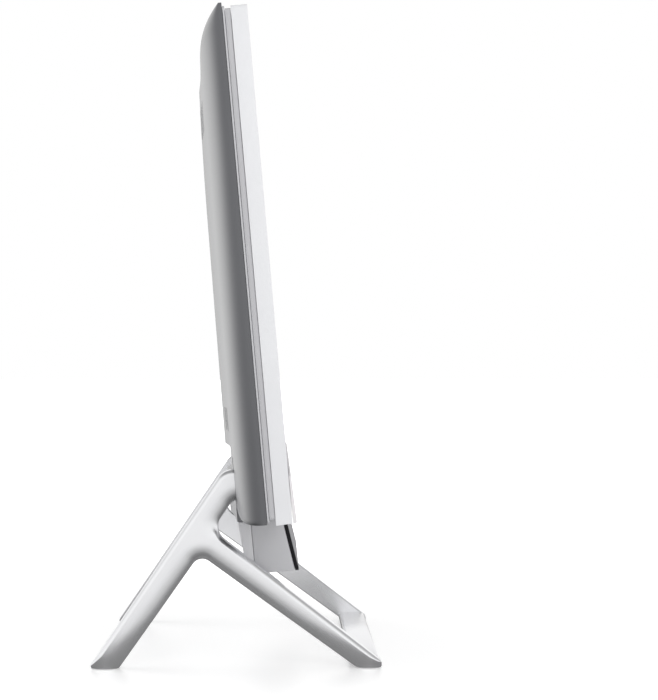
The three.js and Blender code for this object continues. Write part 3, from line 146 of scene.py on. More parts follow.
@dataclass(frozen=True)
class Finish:
    """A finish with even colour, broken up by faint mottling and a fine surface texture.

    Attributes:
        name: Name of the material.
        colour: Base colour, linear.
        roughness: Middle roughness.
        metallic: How metallic the surface is.
        specular: Specular level of the bare surface.
        coat: Weight of a clear coat.
        coat_roughness: Roughness of the clear coat.
        mottle: Share by which the colour varies.
        mottle_size: Size of the colour's patches, in metres.
        grain: Share by which the roughness varies.
        grain_size: Size of the surface texture, in metres.
        bump: Height of the surface texture, in metres.
        stretch: Scale of the texture along X, Y and Z; unequal values make brush lines.
    """

    name: str
    colour: Triple
    roughness: float = 0.4
    metallic: float = 0.0
    specular: float = 0.5
    coat: float = 0.0
    coat_roughness: float = 0.1
    mottle: float = 0.03
    mottle_size: float = 0.03
    grain: float = 0.12
    grain_size: float = 0.0006
    bump: float = 0.00001
    stretch: Triple = (1.0, 1.0, 1.0)

    def material(self) -> bpy.types.Material:
        """Makes the finish's material once and gives it back each time.

        Returns:
            The material.
        """
        made = bpy.data.materials.get(self.name)
        if made is not None:
            return made
        made = bpy.data.materials.new(self.name)
        made.use_nodes = True
        self.wire(made.node_tree)
        return made

    def wire(self, tree: Tree) -> None:
        """Joins the nodes of the finish.

        Args:
            tree: The material's node tree.
        """
        surface = tree.nodes["Principled BSDF"]
        for name, value in (("Metallic", self.metallic), ("Specular IOR Level", self.specular),
                            ("Coat Weight", self.coat), ("Coat Roughness", self.coat_roughness)):
            surface.inputs[name].default_value = value
        place = self.place(tree)
        patches = self.noise(tree, place, 1.0 / self.mottle_size, detail=3.0)
        colour = tree.nodes.new("ShaderNodeMix")
        colour.data_type = "RGBA"
        colour.inputs["A"].default_value = (*[c * (1.0 - self.mottle) for c in self.colour], 1.0)
        colour.inputs["B"].default_value = (*[min(c * (1.0 + self.mottle), 1.0) for c in self.colour], 1.0)
        tree.links.new(patches.outputs["Fac"], colour.inputs["Factor"])
        tree.links.new(colour.outputs["Result"], surface.inputs["Base Color"])
        texture = self.noise(tree, place, 1.0 / self.grain_size, detail=2.0)
        spread = tree.nodes.new("ShaderNodeMapRange")
        spread.inputs["To Min"].default_value = self.roughness * (1.0 - self.grain)
        spread.inputs["To Max"].default_value = self.roughness * (1.0 + self.grain)
        tree.links.new(texture.outputs["Fac"], spread.inputs["Value"])
        tree.links.new(spread.outputs["Result"], surface.inputs["Roughness"])
        relief = tree.nodes.new("ShaderNodeBump")
        relief.inputs["Distance"].default_value = self.bump
        tree.links.new(texture.outputs["Fac"], relief.inputs["Height"])
        tree.links.new(relief.outputs["Normal"], surface.inputs["Normal"])

    def place(self, tree: Tree) -> Socket:
        """Gives the coordinates that the pattern is laid out in.

        Args:
            tree: The material's node tree.

        Returns:
            The socket with the coordinates.
        """
        coordinates = tree.nodes.new("ShaderNodeTexCoord")
        mapping = tree.nodes.new("ShaderNodeMapping")
        mapping.inputs["Scale"].default_value = self.stretch
        tree.links.new(coordinates.outputs["Object"], mapping.inputs["Vector"])
        return mapping.outputs["Vector"]

    def noise(self, tree: Tree, place: Socket, scale: float, detail: float) -> bpy.types.Node:
        """Adds a noise texture.

        Args:
            tree: The material's node tree.
            place: Coordinates to read.
            scale: Patches per metre.
            detail: Octaves of the noise.

        Returns:
            The texture node.
        """
        node = tree.nodes.new("ShaderNodeTexNoise")
        node.inputs["Scale"].default_value = scale
        node.inputs["Detail"].default_value = detail
        tree.links.new(place, node.inputs["Vector"])
        return node


SATIN_SILVER = Finish("satin_silver", (0.93, 0.933, 0.95), roughness=0.22, metallic=0.92, grain=0.06,
                      grain_size=0.0004, bump=0.000001)
PEARL_WHITE = Finish("pearl_white", (0.85, 0.855, 0.875), roughness=0.38)
WARM_WHITE = Finish("warm_white", (0.86, 0.84, 0.855), roughness=0.38)
COVER_SILVER = Finish("cover_silver", (0.142, 0.144, 0.153), roughness=0.32, metallic=0.8, coat=0.45,
                      coat_roughness=0.25)
CHASSIS_GRAY = Finish("chassis_gray", (0.55, 0.55, 0.568), roughness=0.5)
TRIM_BRIGHT = Finish("trim_bright", (0.60, 0.60, 0.62), roughness=0.5, metallic=0.1)
BAR_GRAY = Finish("bar_gray", (0.64, 0.64, 0.66), roughness=0.45)
BAR_BACK = Finish("bar_back", (0.82, 0.82, 0.84), roughness=0.45)
BLACK_GLASS = Finish("black_glass", (0.004, 0.0042, 0.005), roughness=0.06, coat=1.0, coat_roughness=0.02,
                     bump=0.0)
DARK_PANEL = Finish("dark_panel", (0.008, 0.008, 0.010), roughness=0.35)
CLEAR_GUIDE = Finish("clear_guide", (0.75, 0.8, 0.82), roughness=0.15)
BARE_STEEL = Finish("bare_steel", (0.56, 0.57, 0.58), roughness=0.35, metallic=0.95,
                    stretch=(0.05, 1.0, 1.0))
BOARD_GREEN = Finish("board_green", (0.012, 0.06, 0.035), roughness=0.4, coat=0.4)
CHIP_BLACK = Finish("chip_resin", (0.012, 0.012, 0.014), roughness=0.55)
COPPER = Finish("bare_copper", (0.72, 0.32, 0.19), roughness=0.32, metallic=1.0, stretch=(0.05, 1.0, 1.0))
BARE_ALUMINIUM = Finish("bare_aluminium", (0.68, 0.69, 0.70), roughness=0.36, metallic=0.95)
FAN_BLACK = Finish("fan_black", (0.02, 0.02, 0.022), roughness=0.5)
PAD_RUBBER = Finish("pad_rubber", (0.03, 0.03, 0.032), roughness=0.8)
GASKET_RUBBER = Finish("gasket_black", (0.018, 0.018, 0.02), roughness=0.8, specular=0.2)
GRILLE_CLOTH = Finish("woven_grille", (0.52, 0.52, 0.54), roughness=0.8)


# Outlines, in millimetres


def rounded_rectangle(left: float, right: float, low: float, high: float, radius: float,
                      steps: int = 8) -> list[Point]:
    """Draws a rectangle with round corners.

    Args:
        left: Lowest first coordinate.
        right: Highest first coordinate.
        low: Lowest second coordinate.
        high: Highest second coordinate.
        radius: Radius of the corners.
        steps: Parts of each corner's arc.

    Returns:
        The outline's points, anticlockwise.
    """
    centres = ((right - radius, low + radius), (right - radius, high - radius),
               (left + radius, high - radius), (left + radius, low + radius))
    outline = []
    for quarter, (u, v) in enumerate(centres):
        for step in range(steps + 1):
            angle = math.radians(90.0 * (quarter - 1 + step / steps))
            outline.append((u + radius * math.cos(angle), v + radius * math.sin(angle)))
    return outline


def ring_points(u: float, v: float, radius: float, count: int) -> list[Point]:
    """Draws a circle.

    Args:
        u: First coordinate of the middle.
        v: Second coordinate of the middle.
        radius: The circle's radius.
        count: How many points it gets.

    Returns:
        The points, anticlockwise.
    """
    turns = [math.tau * step / count for step in range(count)]
    return [(u + radius * math.cos(turn), v + radius * math.sin(turn)) for turn in turns]


@dataclass(frozen=True)
class Edge:
    """One straight edge of an outline, with the material on its left.

    Attributes:
        point: A point on the edge.
        degrees: The edge's heading.
        radius: Radius of the corner at its end.
        inset_share: Share of an inset that the edge takes.
    """

    point: Point
    degrees: float
    radius: float
    inset_share: float = 1.0

    @property
    def heading(self) -> Vector:
        """The edge's direction."""
        return Vector((math.cos(math.radians(self.degrees)), math.sin(math.radians(self.degrees))))

    def moved_in(self, inset: float) -> Vector:
        """Gives the edge's point after an inset.

        Args:
            inset: How far the outline moves in.

        Returns:
            The moved point.
        """
        ahead = self.heading
        return Vector(self.point) + Vector((-ahead.y, ahead.x)) * inset * self.inset_share


def rounded_outline(edges: Sequence[Edge], inset: float, steps: int) -> list[Point]:
    """Draws a closed run of straight edges with round corners, moved inwards.

    Args:
        edges: The edges in order, anticlockwise.
        inset: How far the outline moves in.
        steps: Parts of each corner's arc.

    Returns:
        As many points for every inset.
    """
    sharpest = 0.25
    outline = []
    for edge, after in zip(edges, (*edges[1:], edges[0])):
        start, ahead = edge.moved_in(inset), edge.heading
        reach = (after.moved_in(inset) - start).cross(after.heading) / ahead.cross(after.heading)
        turn = math.atan2(ahead.cross(after.heading), ahead.dot(after.heading))
        side = math.copysign(1.0, turn)
        radius = max(edge.radius - side * inset, sharpest)
        first = start + ahead * (reach - radius * math.tan(abs(turn) / 2))
        centre = first + Vector((-ahead.y, ahead.x)) * side * radius
        for step in range(steps + 1):
            spoke = Matrix.Rotation(turn * step / steps, 2) @ (first - centre)
            outline.append(tuple(centre + spoke))
    return outline


# Bench work, in millimetres


def deselect() -> None:
    """Clears the selection, so that an operator acts only on what follows."""
    bpy.ops.object.select_all(action="DESELECT")


def pick(piece: Piece) -> None:
    """Selects one piece alone and makes it active.

    Args:
        piece: The piece to work on.
    """
    deselect()
    piece.select_set(True)
    bpy.context.view_layer.objects.active = piece


def fix_place(piece: Piece, name: str) -> Piece:
    """Puts a new primitive's place into its mesh and names it.

    Args:
        piece: The primitive.
        name: Its name.

    Returns:
        The piece.
    """
    pick(piece)
    bpy.ops.object.transform_apply(location=True, rotation=True, scale=True)
    piece.name = name
    piece.data.name = name
    return piece


def block(name: str, low: Sequence[float], high: Sequence[float]) -> Piece:
    """Adds a cube between two corners.

    Args:
        name: Its name.
        low: Lowest corner.
        high: Highest corner.

    Returns:
        The block.
    """
    deselect()
    middle = [(a + b) / 2 for a, b in zip(low, high)]
    bpy.ops.mesh.primitive_cube_add(size=1.0, location=middle, scale=[b - a for a, b in zip(low, high)])
    return fix_place(bpy.context.object, name)


def ordered(cap: bmesh.types.BMFace, first: Vector, second: Vector) -> list[bmesh.types.BMVert]:
    """Gives a cap's vertices in the order of the ring it lies on.

    Args:
        cap: The cap.
        first: Where the ring's first point lies.
        second: Where its second point lies.

    Returns:
        The vertices in the ring's order.
    """
    around = list(cap.verts)
    start = min(range(len(around)), key=lambda i: (around[i].co - first).length_squared)
    around = around[start:] + around[:start]
    backwards = (around[-1].co - second).length_squared < (around[1].co - second).length_squared
    return [around[0], *reversed(around[1:])] if backwards else around


def loft(name: str, rings: Sequence[Sequence[Vector]]) -> Piece:
    """Extrudes a flat outline from ring to ring.

    Args:
        name: Its name.
        rings: Rings with equal point counts.

    Returns:
        The closed piece.
    """
    deselect()
    bpy.ops.mesh.primitive_circle_add(vertices=len(rings[0]), radius=1.0, fill_type="NGON")
    piece = bpy.context.object
    bpy.ops.object.mode_set(mode="EDIT")
    bpy.ops.mesh.select_mode(type="FACE")
    bpy.ops.mesh.select_all(action="SELECT")
    work = bmesh.from_edit_mesh(piece.data)
    for vert, place in zip(next(iter(work.faces)).verts, rings[0]):
        vert.co = place
    for before, ring in zip(rings, rings[1:]):
        bpy.ops.mesh.extrude_region_move()
        work = bmesh.from_edit_mesh(piece.data)
        cap = next(face for face in work.faces if face.select)
        for vert, place in zip(ordered(cap, before[0], before[1]), ring):
            vert.co = place
        bmesh.update_edit_mesh(piece.data)
    close_edit()
    return fix_place(piece, name)


def close_edit() -> None:
    """Turns all faces outwards and leaves edit mode."""
    bpy.ops.mesh.select_all(action="SELECT")
    bpy.ops.mesh.normals_make_consistent(inside=False)
    bpy.ops.object.mode_set(mode="OBJECT")


def sweep(name: str, axis: Axis, outline: Sequence[Point], start: float, end: float) -> Piece:
    """Extrudes a flat outline along an axis.

    Args:
        name: Its name.
        axis: The axis.
        outline: The outline in the two other coordinates.
        start: Where it starts.
        end: Where it ends.

    Returns:
        The swept piece.
    """
    return loft(name, [[axis.place(point, along) for point in outline] for along in (start, end)])


def boolean(piece: Piece, operation: str, *others: Piece) -> Piece:
    """Joins, cuts or intersects a piece with others, which are used up.

    Args:
        piece: The piece that stays.
        operation: UNION, DIFFERENCE or INTERSECT.
        others: The other pieces.

    Returns:
        The piece.
    """
    for other in others:
        pick(piece)
        modifier = piece.modifiers.new(operation.lower(), "BOOLEAN")
        modifier.operation = operation
        modifier.solver = "EXACT"
        modifier.object = other
        bpy.ops.object.modifier_apply(modifier=modifier.name)
        bpy.data.objects.remove(other)
    return piece


def gather(pieces: Iterable[Piece]) -> Piece:
    """Makes several loose pieces one object.

    Args:
        pieces: The pieces.

    Returns:
        The one object.
    """
    found = list(pieces)
    pick(found[0])
    for piece in found:
        piece.select_set(True)
    bpy.ops.object.join()
    return found[0]


def duplicate(piece: Piece, name: str) -> Piece:
    """Copies a piece with a mesh of its own.

    Args:
        piece: The piece.
        name: Name of the copy.

    Returns:
        The copy.
    """
    other = bpy.data.objects.new(name, piece.data.copy())
    bpy.context.scene.collection.objects.link(other)
    other.data.name = name
    return other


def copy_of(node: Piece, body: Body, name: str) -> Piece:
    """Copies a solid of the frame, merged and with its flat faces whole, back into millimetres.

    Args:
        node: The solid.
        body: The body that it belongs to.
        name: Name of the copy.

    Returns:
        The copy.
    """
    flat_degrees = 0.5
    piece = duplicate(node, name)
    piece.data.transform(body.place.inverted() @ Matrix.Scale(1.0 / MM, 4))
    pick(piece)
    bpy.ops.object.mode_set(mode="EDIT")
    bpy.ops.mesh.select_all(action="SELECT")
    bpy.ops.mesh.remove_doubles(threshold=WELD)
    bpy.ops.mesh.dissolve_limited(angle_limit=math.radians(flat_degrees))
    close_edit()
    return piece


def local_box(name: str) -> tuple[Vector, Vector]:
    """Measures a solid of the display body in the body's own millimetres.

    Args:
        name: The solid's node.

    Returns:
        Its lowest and its highest corner.
    """
    back = DISPLAY_PLACE.inverted() @ Matrix.Scale(1.0 / MM, 4)
    places = [back @ vert.co for vert in bpy.data.objects[name].data.vertices]
    return (Vector([min(place[i] for place in places) for i in range(3)]),
            Vector([max(place[i] for place in places) for i in range(3)]))


def soften(piece: Piece, width: float, segments: int = 3) -> Piece:
    """Rounds the sharp edges of a piece and shades it smooth.

    Args:
        piece: The piece.
        width: Width of the rounding.
        segments: Parts of the rounding.

    Returns:
        The piece.
    """
    sharp_degrees = 30.0
    pick(piece)
    modifier = piece.modifiers.new("edges", "BEVEL")
    modifier.width = width
    modifier.segments = segments
    modifier.limit_method = "ANGLE"
    modifier.angle_limit = math.radians(sharp_degrees)
    bpy.ops.object.modifier_apply(modifier=modifier.name)
    return smooth(piece)


def smooth(piece: Piece) -> Piece:
    """Shades a piece smooth except across its sharp edges.

    Args:
        piece: The piece.

    Returns:
        The piece.
    """
    sharp_degrees = 35.0
    pick(piece)
    bpy.ops.object.shade_smooth_by_angle(angle=math.radians(sharp_degrees))
    return piece


def mirror_copy(piece: Piece, name: str) -> Piece:
    """Copies a piece to the other side of the middle plane.

    Args:
        piece: The piece.
        name: Name of the copy.

    Returns:
        The copy, with its faces outwards.
    """
    other = duplicate(piece, name)
    other.data.transform(Matrix.Scale(-1.0, 4, Vector((1.0, 0.0, 0.0))))
    other.data.flip_normals()
    return other


def set_in(piece: Piece, body: Body, finish: Finish, node: str) -> None:
    """Sets a finished piece into the frame in metres, dresses it and lets it ride.

    Args:
        piece: The piece, in its body's millimetres.
        body: The body that it rides on.
        finish: Its finish.
        node: The solid that it stands for.
    """
    piece.data.transform(Matrix.Scale(MM, 4) @ body.place)
    piece.data.materials.clear()
    piece.data.materials.append(finish.material())
    for face in piece.data.polygons:
        face.material_index = 0
    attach(piece, body.value)
    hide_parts(node)
    LOG.info("%s rides on %s for %s", piece.name, body.value, node)


# Sub-assemblies


@dataclass(frozen=True)
class Bank:
    """A stretch of outline from which a face rises to its crown.

    Attributes:
        start: Its start.
        end: Its end.
        width: Width over which the face rises.
        height: How high it rises.
    """

    start: Vector
    end: Vector
    width: float
    height: float = 0.0

    def share(self, point: Vector) -> float:
        """Tells how close a point is.

        Args:
            point: The point.

        Returns:
            1 on the bank, 0 at its width, and less beyond.
        """
        near, along = intersect_point_line(point, self.start, self.end)
        near = self.start if along < 0.0 else self.end if along > 1.0 else near
        return 1.0 - (near - point).length / self.width

    def fall(self, point: Vector) -> float:
        """Tells how far the face lies under its crown.

        Args:
            point: A point of the face.

        Returns:
            The distance under the crown, on the quarter of an ellipse.
        """
        share = min(max(self.share(point), 0.0), 1.0)
        return self.height * (1.0 - math.sqrt(1.0 - share ** 2))


@dataclass
class SideFrames:
    """The two splayed side frames of the stand, crowned like a pillow on their outer faces.

    Attributes:
        foot: Underside of the castings over the desk.
        rear_foot: The rear foot's end, behind the middle.
        rear_angle: Slope of the rear leg, in degrees.
        rear_taper: How much the rear leg narrows downwards, in degrees.
        rear_length: Length of the rear foot on the desk.
        arm_top: Top of the arm.
        arm_under: Underside of the arm.
        arm_reach: How far the arm reaches past the hinge.
        arm_width: Width of the rear leg at the arm.
        toe: The toe's end, before the middle.
        toe_height: Height of the toe.
        upper_angle: Slope of the front leg's top, in degrees.
        lower_angle: Slope of its underside, in degrees.
        front_length: Length of the front foot on the desk.
        low_rise: Width and height over which the outer face rises from a lower edge to its crown.
        high_rise: Width and height over which it rises from an upper edge.
        rim_inset: How far in the rings of the rounding reach before the grid of the crown.
        rings: How many rings make the rounding.
        corner_steps: Parts of each corner's arc.
        grid: Size of the crown's grid cells.
        inner_round: Rounding of the inner face's edges.
    """

    foot: float = 0.6
    rear_foot: float = 119.2
    rear_angle: float = 55.75
    rear_taper: float = 1.15
    rear_length: float = 24.6
    arm_top: float = 160.2
    arm_under: float = 136.2
    arm_reach: float = 11.5
    arm_width: float = 20.0
    toe: float = -117.15
    toe_height: float = 5.8
    upper_angle: float = 37.65
    lower_angle: float = 35.78
    front_length: float = 19.9
    low_rise: Point = (13.6, 2.8)
    high_rise: Point = (3.8, 3.6)
    rim_inset: float = 6.0
    rings: int = 14
    corner_steps: int = 12
    grid: float = 2.0
    inner_round: float = 0.8

    def edges(self) -> list[Edge]:
        """Lists the straight edges of the outline and the rounding after each.

        Returns:
            The edges, once round.
        """
        across = math.radians(180.0 - self.rear_angle + 90.0)
        window = (self.rear_foot + self.arm_width * math.cos(across),
                  self.foot + self.arm_width * math.sin(across))
        shoulder, nose, throat, window_corner, crotch = 15.3, 11.0, 12.0, 13.0, 9.0
        toe_top, toe_tip, front_heel, instep, heel = 3.0, 2.0, 6.0, 3.0, 2.3
        return [
            Edge((self.rear_foot, self.foot), 180.0 - self.rear_angle, shoulder),
            Edge((0.0, self.arm_top), 180.0, nose),
            Edge((HINGE_POINT.y - self.arm_reach, 0.0), 270.0, nose),
            Edge((0.0, self.arm_under), 0.0, throat),
            Edge(window, -self.rear_angle, window_corner),
            Edge((self.toe, self.toe_height), 180.0 + self.upper_angle, toe_top),
            Edge((self.toe, 0.0), 270.0, toe_tip),
            Edge((0.0, self.foot), 0.0, front_heel, inset_share=0.0),
            Edge((self.toe + self.front_length, self.foot), self.lower_angle, crotch),
            Edge((self.rear_foot - self.rear_length, self.foot), self.rear_taper - self.rear_angle,
                 instep),
            Edge((0.0, self.foot), 0.0, heel, inset_share=0.0),
        ]

    def banks(self, edges: Sequence[Edge]) -> list[Bank]:
        """Lists the rounded edges of the outer face; the soles stay straight.

        Args:
            edges: The edges of the outline.

        Returns:
            The banks, once round.
        """
        turn_share = 0.5
        outline = [Vector((*point, 0.0)) for point in rounded_outline(edges, 0.0, self.corner_steps)]
        found = []
        for start, end in zip(outline, (*outline[1:], outline[0])):
            if (end - start).length < WELD or max(start.y, end.y) < self.foot + WELD:
                continue
            upward = (start.x - end.x) / (end - start).length
            share = min(max(0.5 + upward / turn_share, 0.0), 1.0)
            width, height = Vector(self.low_rise).lerp(Vector(self.high_rise), share)
            found.append(Bank(start, end, width, height))
        return found

    def build(self) -> None:
        """Builds both castings."""
        right = self.casting()
        left = mirror_copy(right, "left_side_casting")
        for side, piece in ((Side.RIGHT, right), (Side.LEFT, left)):
            smooth(piece)
            set_in(piece, Body.STAND, SATIN_SILVER, f"stand_frame_{side.word}")

    def casting(self) -> Piece:
        """Lofts the right casting and crowns its outer face.

        Returns:
            The casting.
        """
        edges = self.edges()
        outer = STAND_WIDTH / 2
        profile = [(INNER_SIDE, self.inner_round), (INNER_SIDE + self.inner_round, 0.0)]
        for step in range(self.rings + 1):
            inset = self.rim_inset * (1.0 - math.cos(math.pi / 2 * step / self.rings))
            profile.append((outer - self.high_rise[1] * (1.0 - inset / self.rim_inset), inset))
        rings = [[Axis.X.place(point, x) for point in rounded_outline(edges, inset, self.corner_steps)]
                 for x, inset in profile]
        parts = [max(1, round((end - start).length / self.grid)) for start, end in
                 zip(rings[1], (*rings[1][1:], rings[1][0]))]
        piece = loft("right_side_casting", [self.divide(ring, parts) for ring in rings])
        self.refill(piece)
        self.crown(piece, self.banks(edges))
        self.bore(piece)
        return piece

    @staticmethod
    def divide(ring: Sequence[Vector], parts: Sequence[int]) -> list[Vector]:
        """Divides the long stretches of a ring.

        Args:
            ring: The ring.
            parts: Into how many parts each stretch goes.

        Returns:
            The ring with more points.
        """
        found = []
        for start, end, count in zip(ring, (*ring[1:], ring[0]), parts):
            found += [start.lerp(end, step / count) for step in range(count)]
        return found

    def refill(self, piece: Piece) -> None:
        """Fills the flat cap anew with even triangles, fine enough for the crown.

        Args:
            piece: The casting.
        """
        clear_share, row_share = 0.6, math.sqrt(3.0) / 2
        flat = STAND_WIDTH / 2
        work = bmesh.new()
        work.from_mesh(piece.data)
        cap = next(face for face in work.faces if all(abs(vert.co.x - flat) < WELD for vert in face.verts))
        border = list(cap.verts)
        places = [Vector((vert.co.y, vert.co.z)) for vert in border]
        fence = [Bank(start.to_3d(), end.to_3d(), self.grid * clear_share)
                 for start, end in zip(places, (*places[1:], places[0]))]
        low = Vector((min(place.x for place in places), min(place.y for place in places)))
        high = Vector((max(place.x for place in places), max(place.y for place in places)))
        rows = int((high.y - low.y) / (self.grid * row_share))
        columns = int((high.x - low.x) / self.grid)
        inner = [Vector((low.x + (column + row % 2 / 2) * self.grid, low.y + row * self.grid * row_share))
                 for row in range(rows + 1) for column in range(columns + 1)]
        inner = [place for place in inner if all(bank.share(place.to_3d()) < 0.0 for bank in fence)]
        only_inside, tolerance = 1, WELD ** 2
        spots, _, faces, sources, _, _ = delaunay_2d_cdt(places + inner, [], [list(range(len(places)))],
                                                         only_inside, tolerance)
        used = {index for face in faces for index in face}
        verts = {}
        for index in used:
            known = [source for source in sources[index] if source < len(border)]
            verts[index] = border[known[0]] if known else work.verts.new((flat, *spots[index]))
        bmesh.ops.delete(work, geom=[cap], context="FACES_ONLY")
        for face in faces:
            work.faces.new([verts[index] for index in face])
        bmesh.ops.recalc_face_normals(work, faces=work.faces)
        work.to_mesh(piece.data)
        work.free()

    def crown(self, piece: Piece, banks: Sequence[Bank]) -> None:
        """Sets every point of the outer face to its height under the crown.

        Args:
            piece: The casting.
            banks: The rounded edges of the face.
        """
        for vert in piece.data.vertices:
            if vert.co.x > INNER_SIDE + self.inner_round + WELD:
                there = Vector((vert.co.y, vert.co.z, 0.0))
                vert.co.x = STAND_WIDTH / 2 - max(bank.fall(there) for bank in banks)

    def bore(self, piece: Piece) -> None:
        """Bores the casting for the hinge shaft.

        Args:
            piece: The right casting.
        """
        seat = 11.7
        circle = ring_points(HINGE_POINT.y, HINGE_POINT.z, SHAFT_RADIUS + GAP, count=32)
        hole = sweep("shaft_bore", Axis.X, circle, INNER_SIDE - GAP, INNER_SIDE + seat + GAP)
        boolean(piece, "DIFFERENCE", hole)


@dataclass
class CrossBar:
    """The flat bar that joins the toes of the stand.

    Attributes:
        setback: Its front edge behind the toes.
        depth: Its depth along the desk.
        lift: Its underside over the desk.
        height: Its height.
        radius: Rounding of its long edges.
    """

    setback: float = 1.6
    depth: float = 24.0
    lift: float = 1.4
    height: float = 7.4
    radius: float = 3.0

    def build(self, toe: float) -> None:
        """Builds the bar between the castings.

        Args:
            toe: Where the toes end.
        """
        front = toe + self.setback
        half = INNER_SIDE - GAP
        outline = rounded_rectangle(front, front + self.depth, self.lift, self.lift + self.height,
                                    self.radius)
        piece = soften(sweep("toe_bar", Axis.X, outline, -half, half), width=0.3)
        set_in(piece, Body.STAND, SATIN_SILVER, "front_cross_bar")


@dataclass
class RearCover:
    """The rear cover: a shell whose depth falls from a soft ridge in the middle to its side edges.

    Attributes:
        top: Its top edge over the display's lower front edge.
        bottom: Its bottom edge.
        front: Depth where it starts.
        lip: Straight part of its rim.
        wall: Its wall.
        bulge: Depth of its middle behind the rim.
        slope_share: Share of the bulge that the slope to the sides takes.
        slope_power: How the slope eases.
        ridge_share: Softness of the ridge, as a share of the half width.
        side_power: How tightly the sides turn in.
        side_ease: Share by which they turn in more softly at the top.
        top_taper: Height over which the top turns in.
        crown_reach: Height over which the slope flattens towards the top.
        crown_fade_share: Share of the slope that is lost there.
        crown_drop_share: Share of the bulge that is lost there.
        bottom_taper: Height over which the bottom turns in.
        bottom_round_share: Share of the depth that the bottom's rounding takes.
        grow_share: How much deeper the bottom is than the middle.
        columns: Columns of the grid in one half.
        rows: Rows of the grid in the bottom, the middle and the top.
        tongue_side: Half the width of the tongue that reaches down to the sound bar.
        tongue_bottom: Where the tongue ends.
        tongue_front: Depth at which the tongue starts.
        recess_side: Half the width of the socket recess.
        recess_low: Its lower edge.
        recess_height: Its height.
        recess_floor: Depth of its floor.
        recess_radius: Rounding of its corners.
    """

    top: float = DISPLAY_HEIGHT + 2.2
    bottom: float = -0.9
    front: float = 18.5
    lip: float = 2.4
    wall: float = 2.2
    bulge: float = 30.8
    slope_share: float = 0.5
    slope_power: float = 0.6
    ridge_share: float = 0.08
    side_power: float = 12.0
    side_ease: float = 0.45
    top_taper: float = 20.0
    crown_reach: float = 129.2
    crown_fade_share: float = 0.3
    crown_drop_share: float = 0.08
    bottom_taper: float = 4.0
    bottom_round_share: float = 0.12
    grow_share: float = 0.05
    columns: int = 56
    rows: tuple[int, int, int] = (6, 34, 20)
    tongue_side: float = INNER_SIDE - 2.5
    tongue_bottom: float = -10.7
    tongue_front: float = 37.3
    recess_side: float = 95.0
    recess_low: float = 28.5
    recess_height: float = 21.0
    recess_floor: float = 38.9
    recess_radius: float = 3.0

    def depth(self, x: float, z: float) -> float:
        """Gives how far the outer surface lies behind the rim.

        Args:
            x: Place across the display.
            z: Height over the display's lower front edge.

        Returns:
            The depth.
        """
        across = min(abs(x) / HALF_WIDTH, 1.0)
        ridge = math.hypot(across, self.ridge_share) - self.ridge_share
        crown = max(1.0 - (self.top - z) / self.crown_reach, 0.0) ** 2
        slope = self.slope_share * (1.0 - self.crown_fade_share * crown) * ridge ** self.slope_power
        ease = 1.0 - self.side_ease * max(1.0 - (self.top - z) / (2.0 * self.crown_reach), 0.0)
        side = math.sqrt(1.0 - across ** (self.side_power * ease))
        to_top = min(max(1.0 - (self.top - z) / self.top_taper, 0.0), 1.0)
        to_bottom = min(max(1.0 - (z - self.bottom) / self.bottom_taper, 0.0), 1.0)
        rounded = 1.0 - self.bottom_round_share * (1.0 - math.sqrt(1.0 - to_bottom ** 2))
        grow = 1.0 + self.grow_share * (1.0 - 2.0 * (z - self.bottom) / (self.top - self.bottom))
        full = 1.0 - slope - self.crown_drop_share * crown
        return self.bulge * grow * full * side * math.sqrt(1.0 - to_top ** 2) * rounded

    def grid_lines(self) -> tuple[list[float], list[float]]:
        """Lays out the grid, close together where the surface curves.

        Returns:
            The places across, and the places up.
        """
        gather_power = 2.3
        half = [HALF_WIDTH * (1.0 - (1.0 - step / self.columns) ** gather_power)
                for step in range(1, self.columns + 1)]
        low, middle, high = self.rows
        rise_from = self.bottom + self.bottom_taper
        rise_to = self.top - self.top_taper
        up = [self.bottom + self.bottom_taper * (1.0 - math.cos(math.pi / 2 * step / low))
              for step in range(low + 1)]
        up += [rise_from + (rise_to - rise_from) * step / middle for step in range(1, middle + 1)]
        up += [rise_to + self.top_taper * (1.0 - (1.0 - step / high) ** 2) for step in range(1, high + 1)]
        return [-x for x in reversed(half)] + [0.0] + half, up

    def body(self, name: str, wall: float) -> Piece:
        """Makes the closed body under the surface, shrunk by a wall.

        Args:
            name: Its name.
            wall: How much smaller it is on all sides.

        Returns:
            The body.
        """
        across, up = self.grid_lines()
        middle = (self.top + self.bottom) / 2
        shrink_x = (HALF_WIDTH - wall) / HALF_WIDTH
        shrink_z = (self.top - middle - wall) / (self.top - middle)
        deselect()
        columns, rows = len(across) - 1, len(up) - 1
        bpy.ops.mesh.primitive_grid_add(x_subdivisions=columns, y_subdivisions=rows, size=1.0)
        piece = bpy.context.object
        for vert in piece.data.vertices:
            x = across[round((vert.co.x + 0.5) * columns)]
            z = up[round((vert.co.y + 0.5) * rows)]
            depth = self.front + self.lip - wall + self.depth(x, z)
            vert.co = (x * shrink_x, depth, middle + (z - middle) * shrink_z)
        bpy.ops.object.mode_set(mode="EDIT")
        bpy.ops.mesh.select_mode(type="EDGE")
        bpy.ops.mesh.select_all(action="DESELECT")
        bpy.ops.mesh.select_non_manifold()
        bpy.ops.mesh.extrude_edges_move()
        bpy.ops.transform.resize(value=(1.0, 0.0, 1.0), center_override=(0.0, self.front - wall, 0.0))
        bpy.ops.mesh.edge_face_add()
        close_edit()
        return fix_place(piece, name)

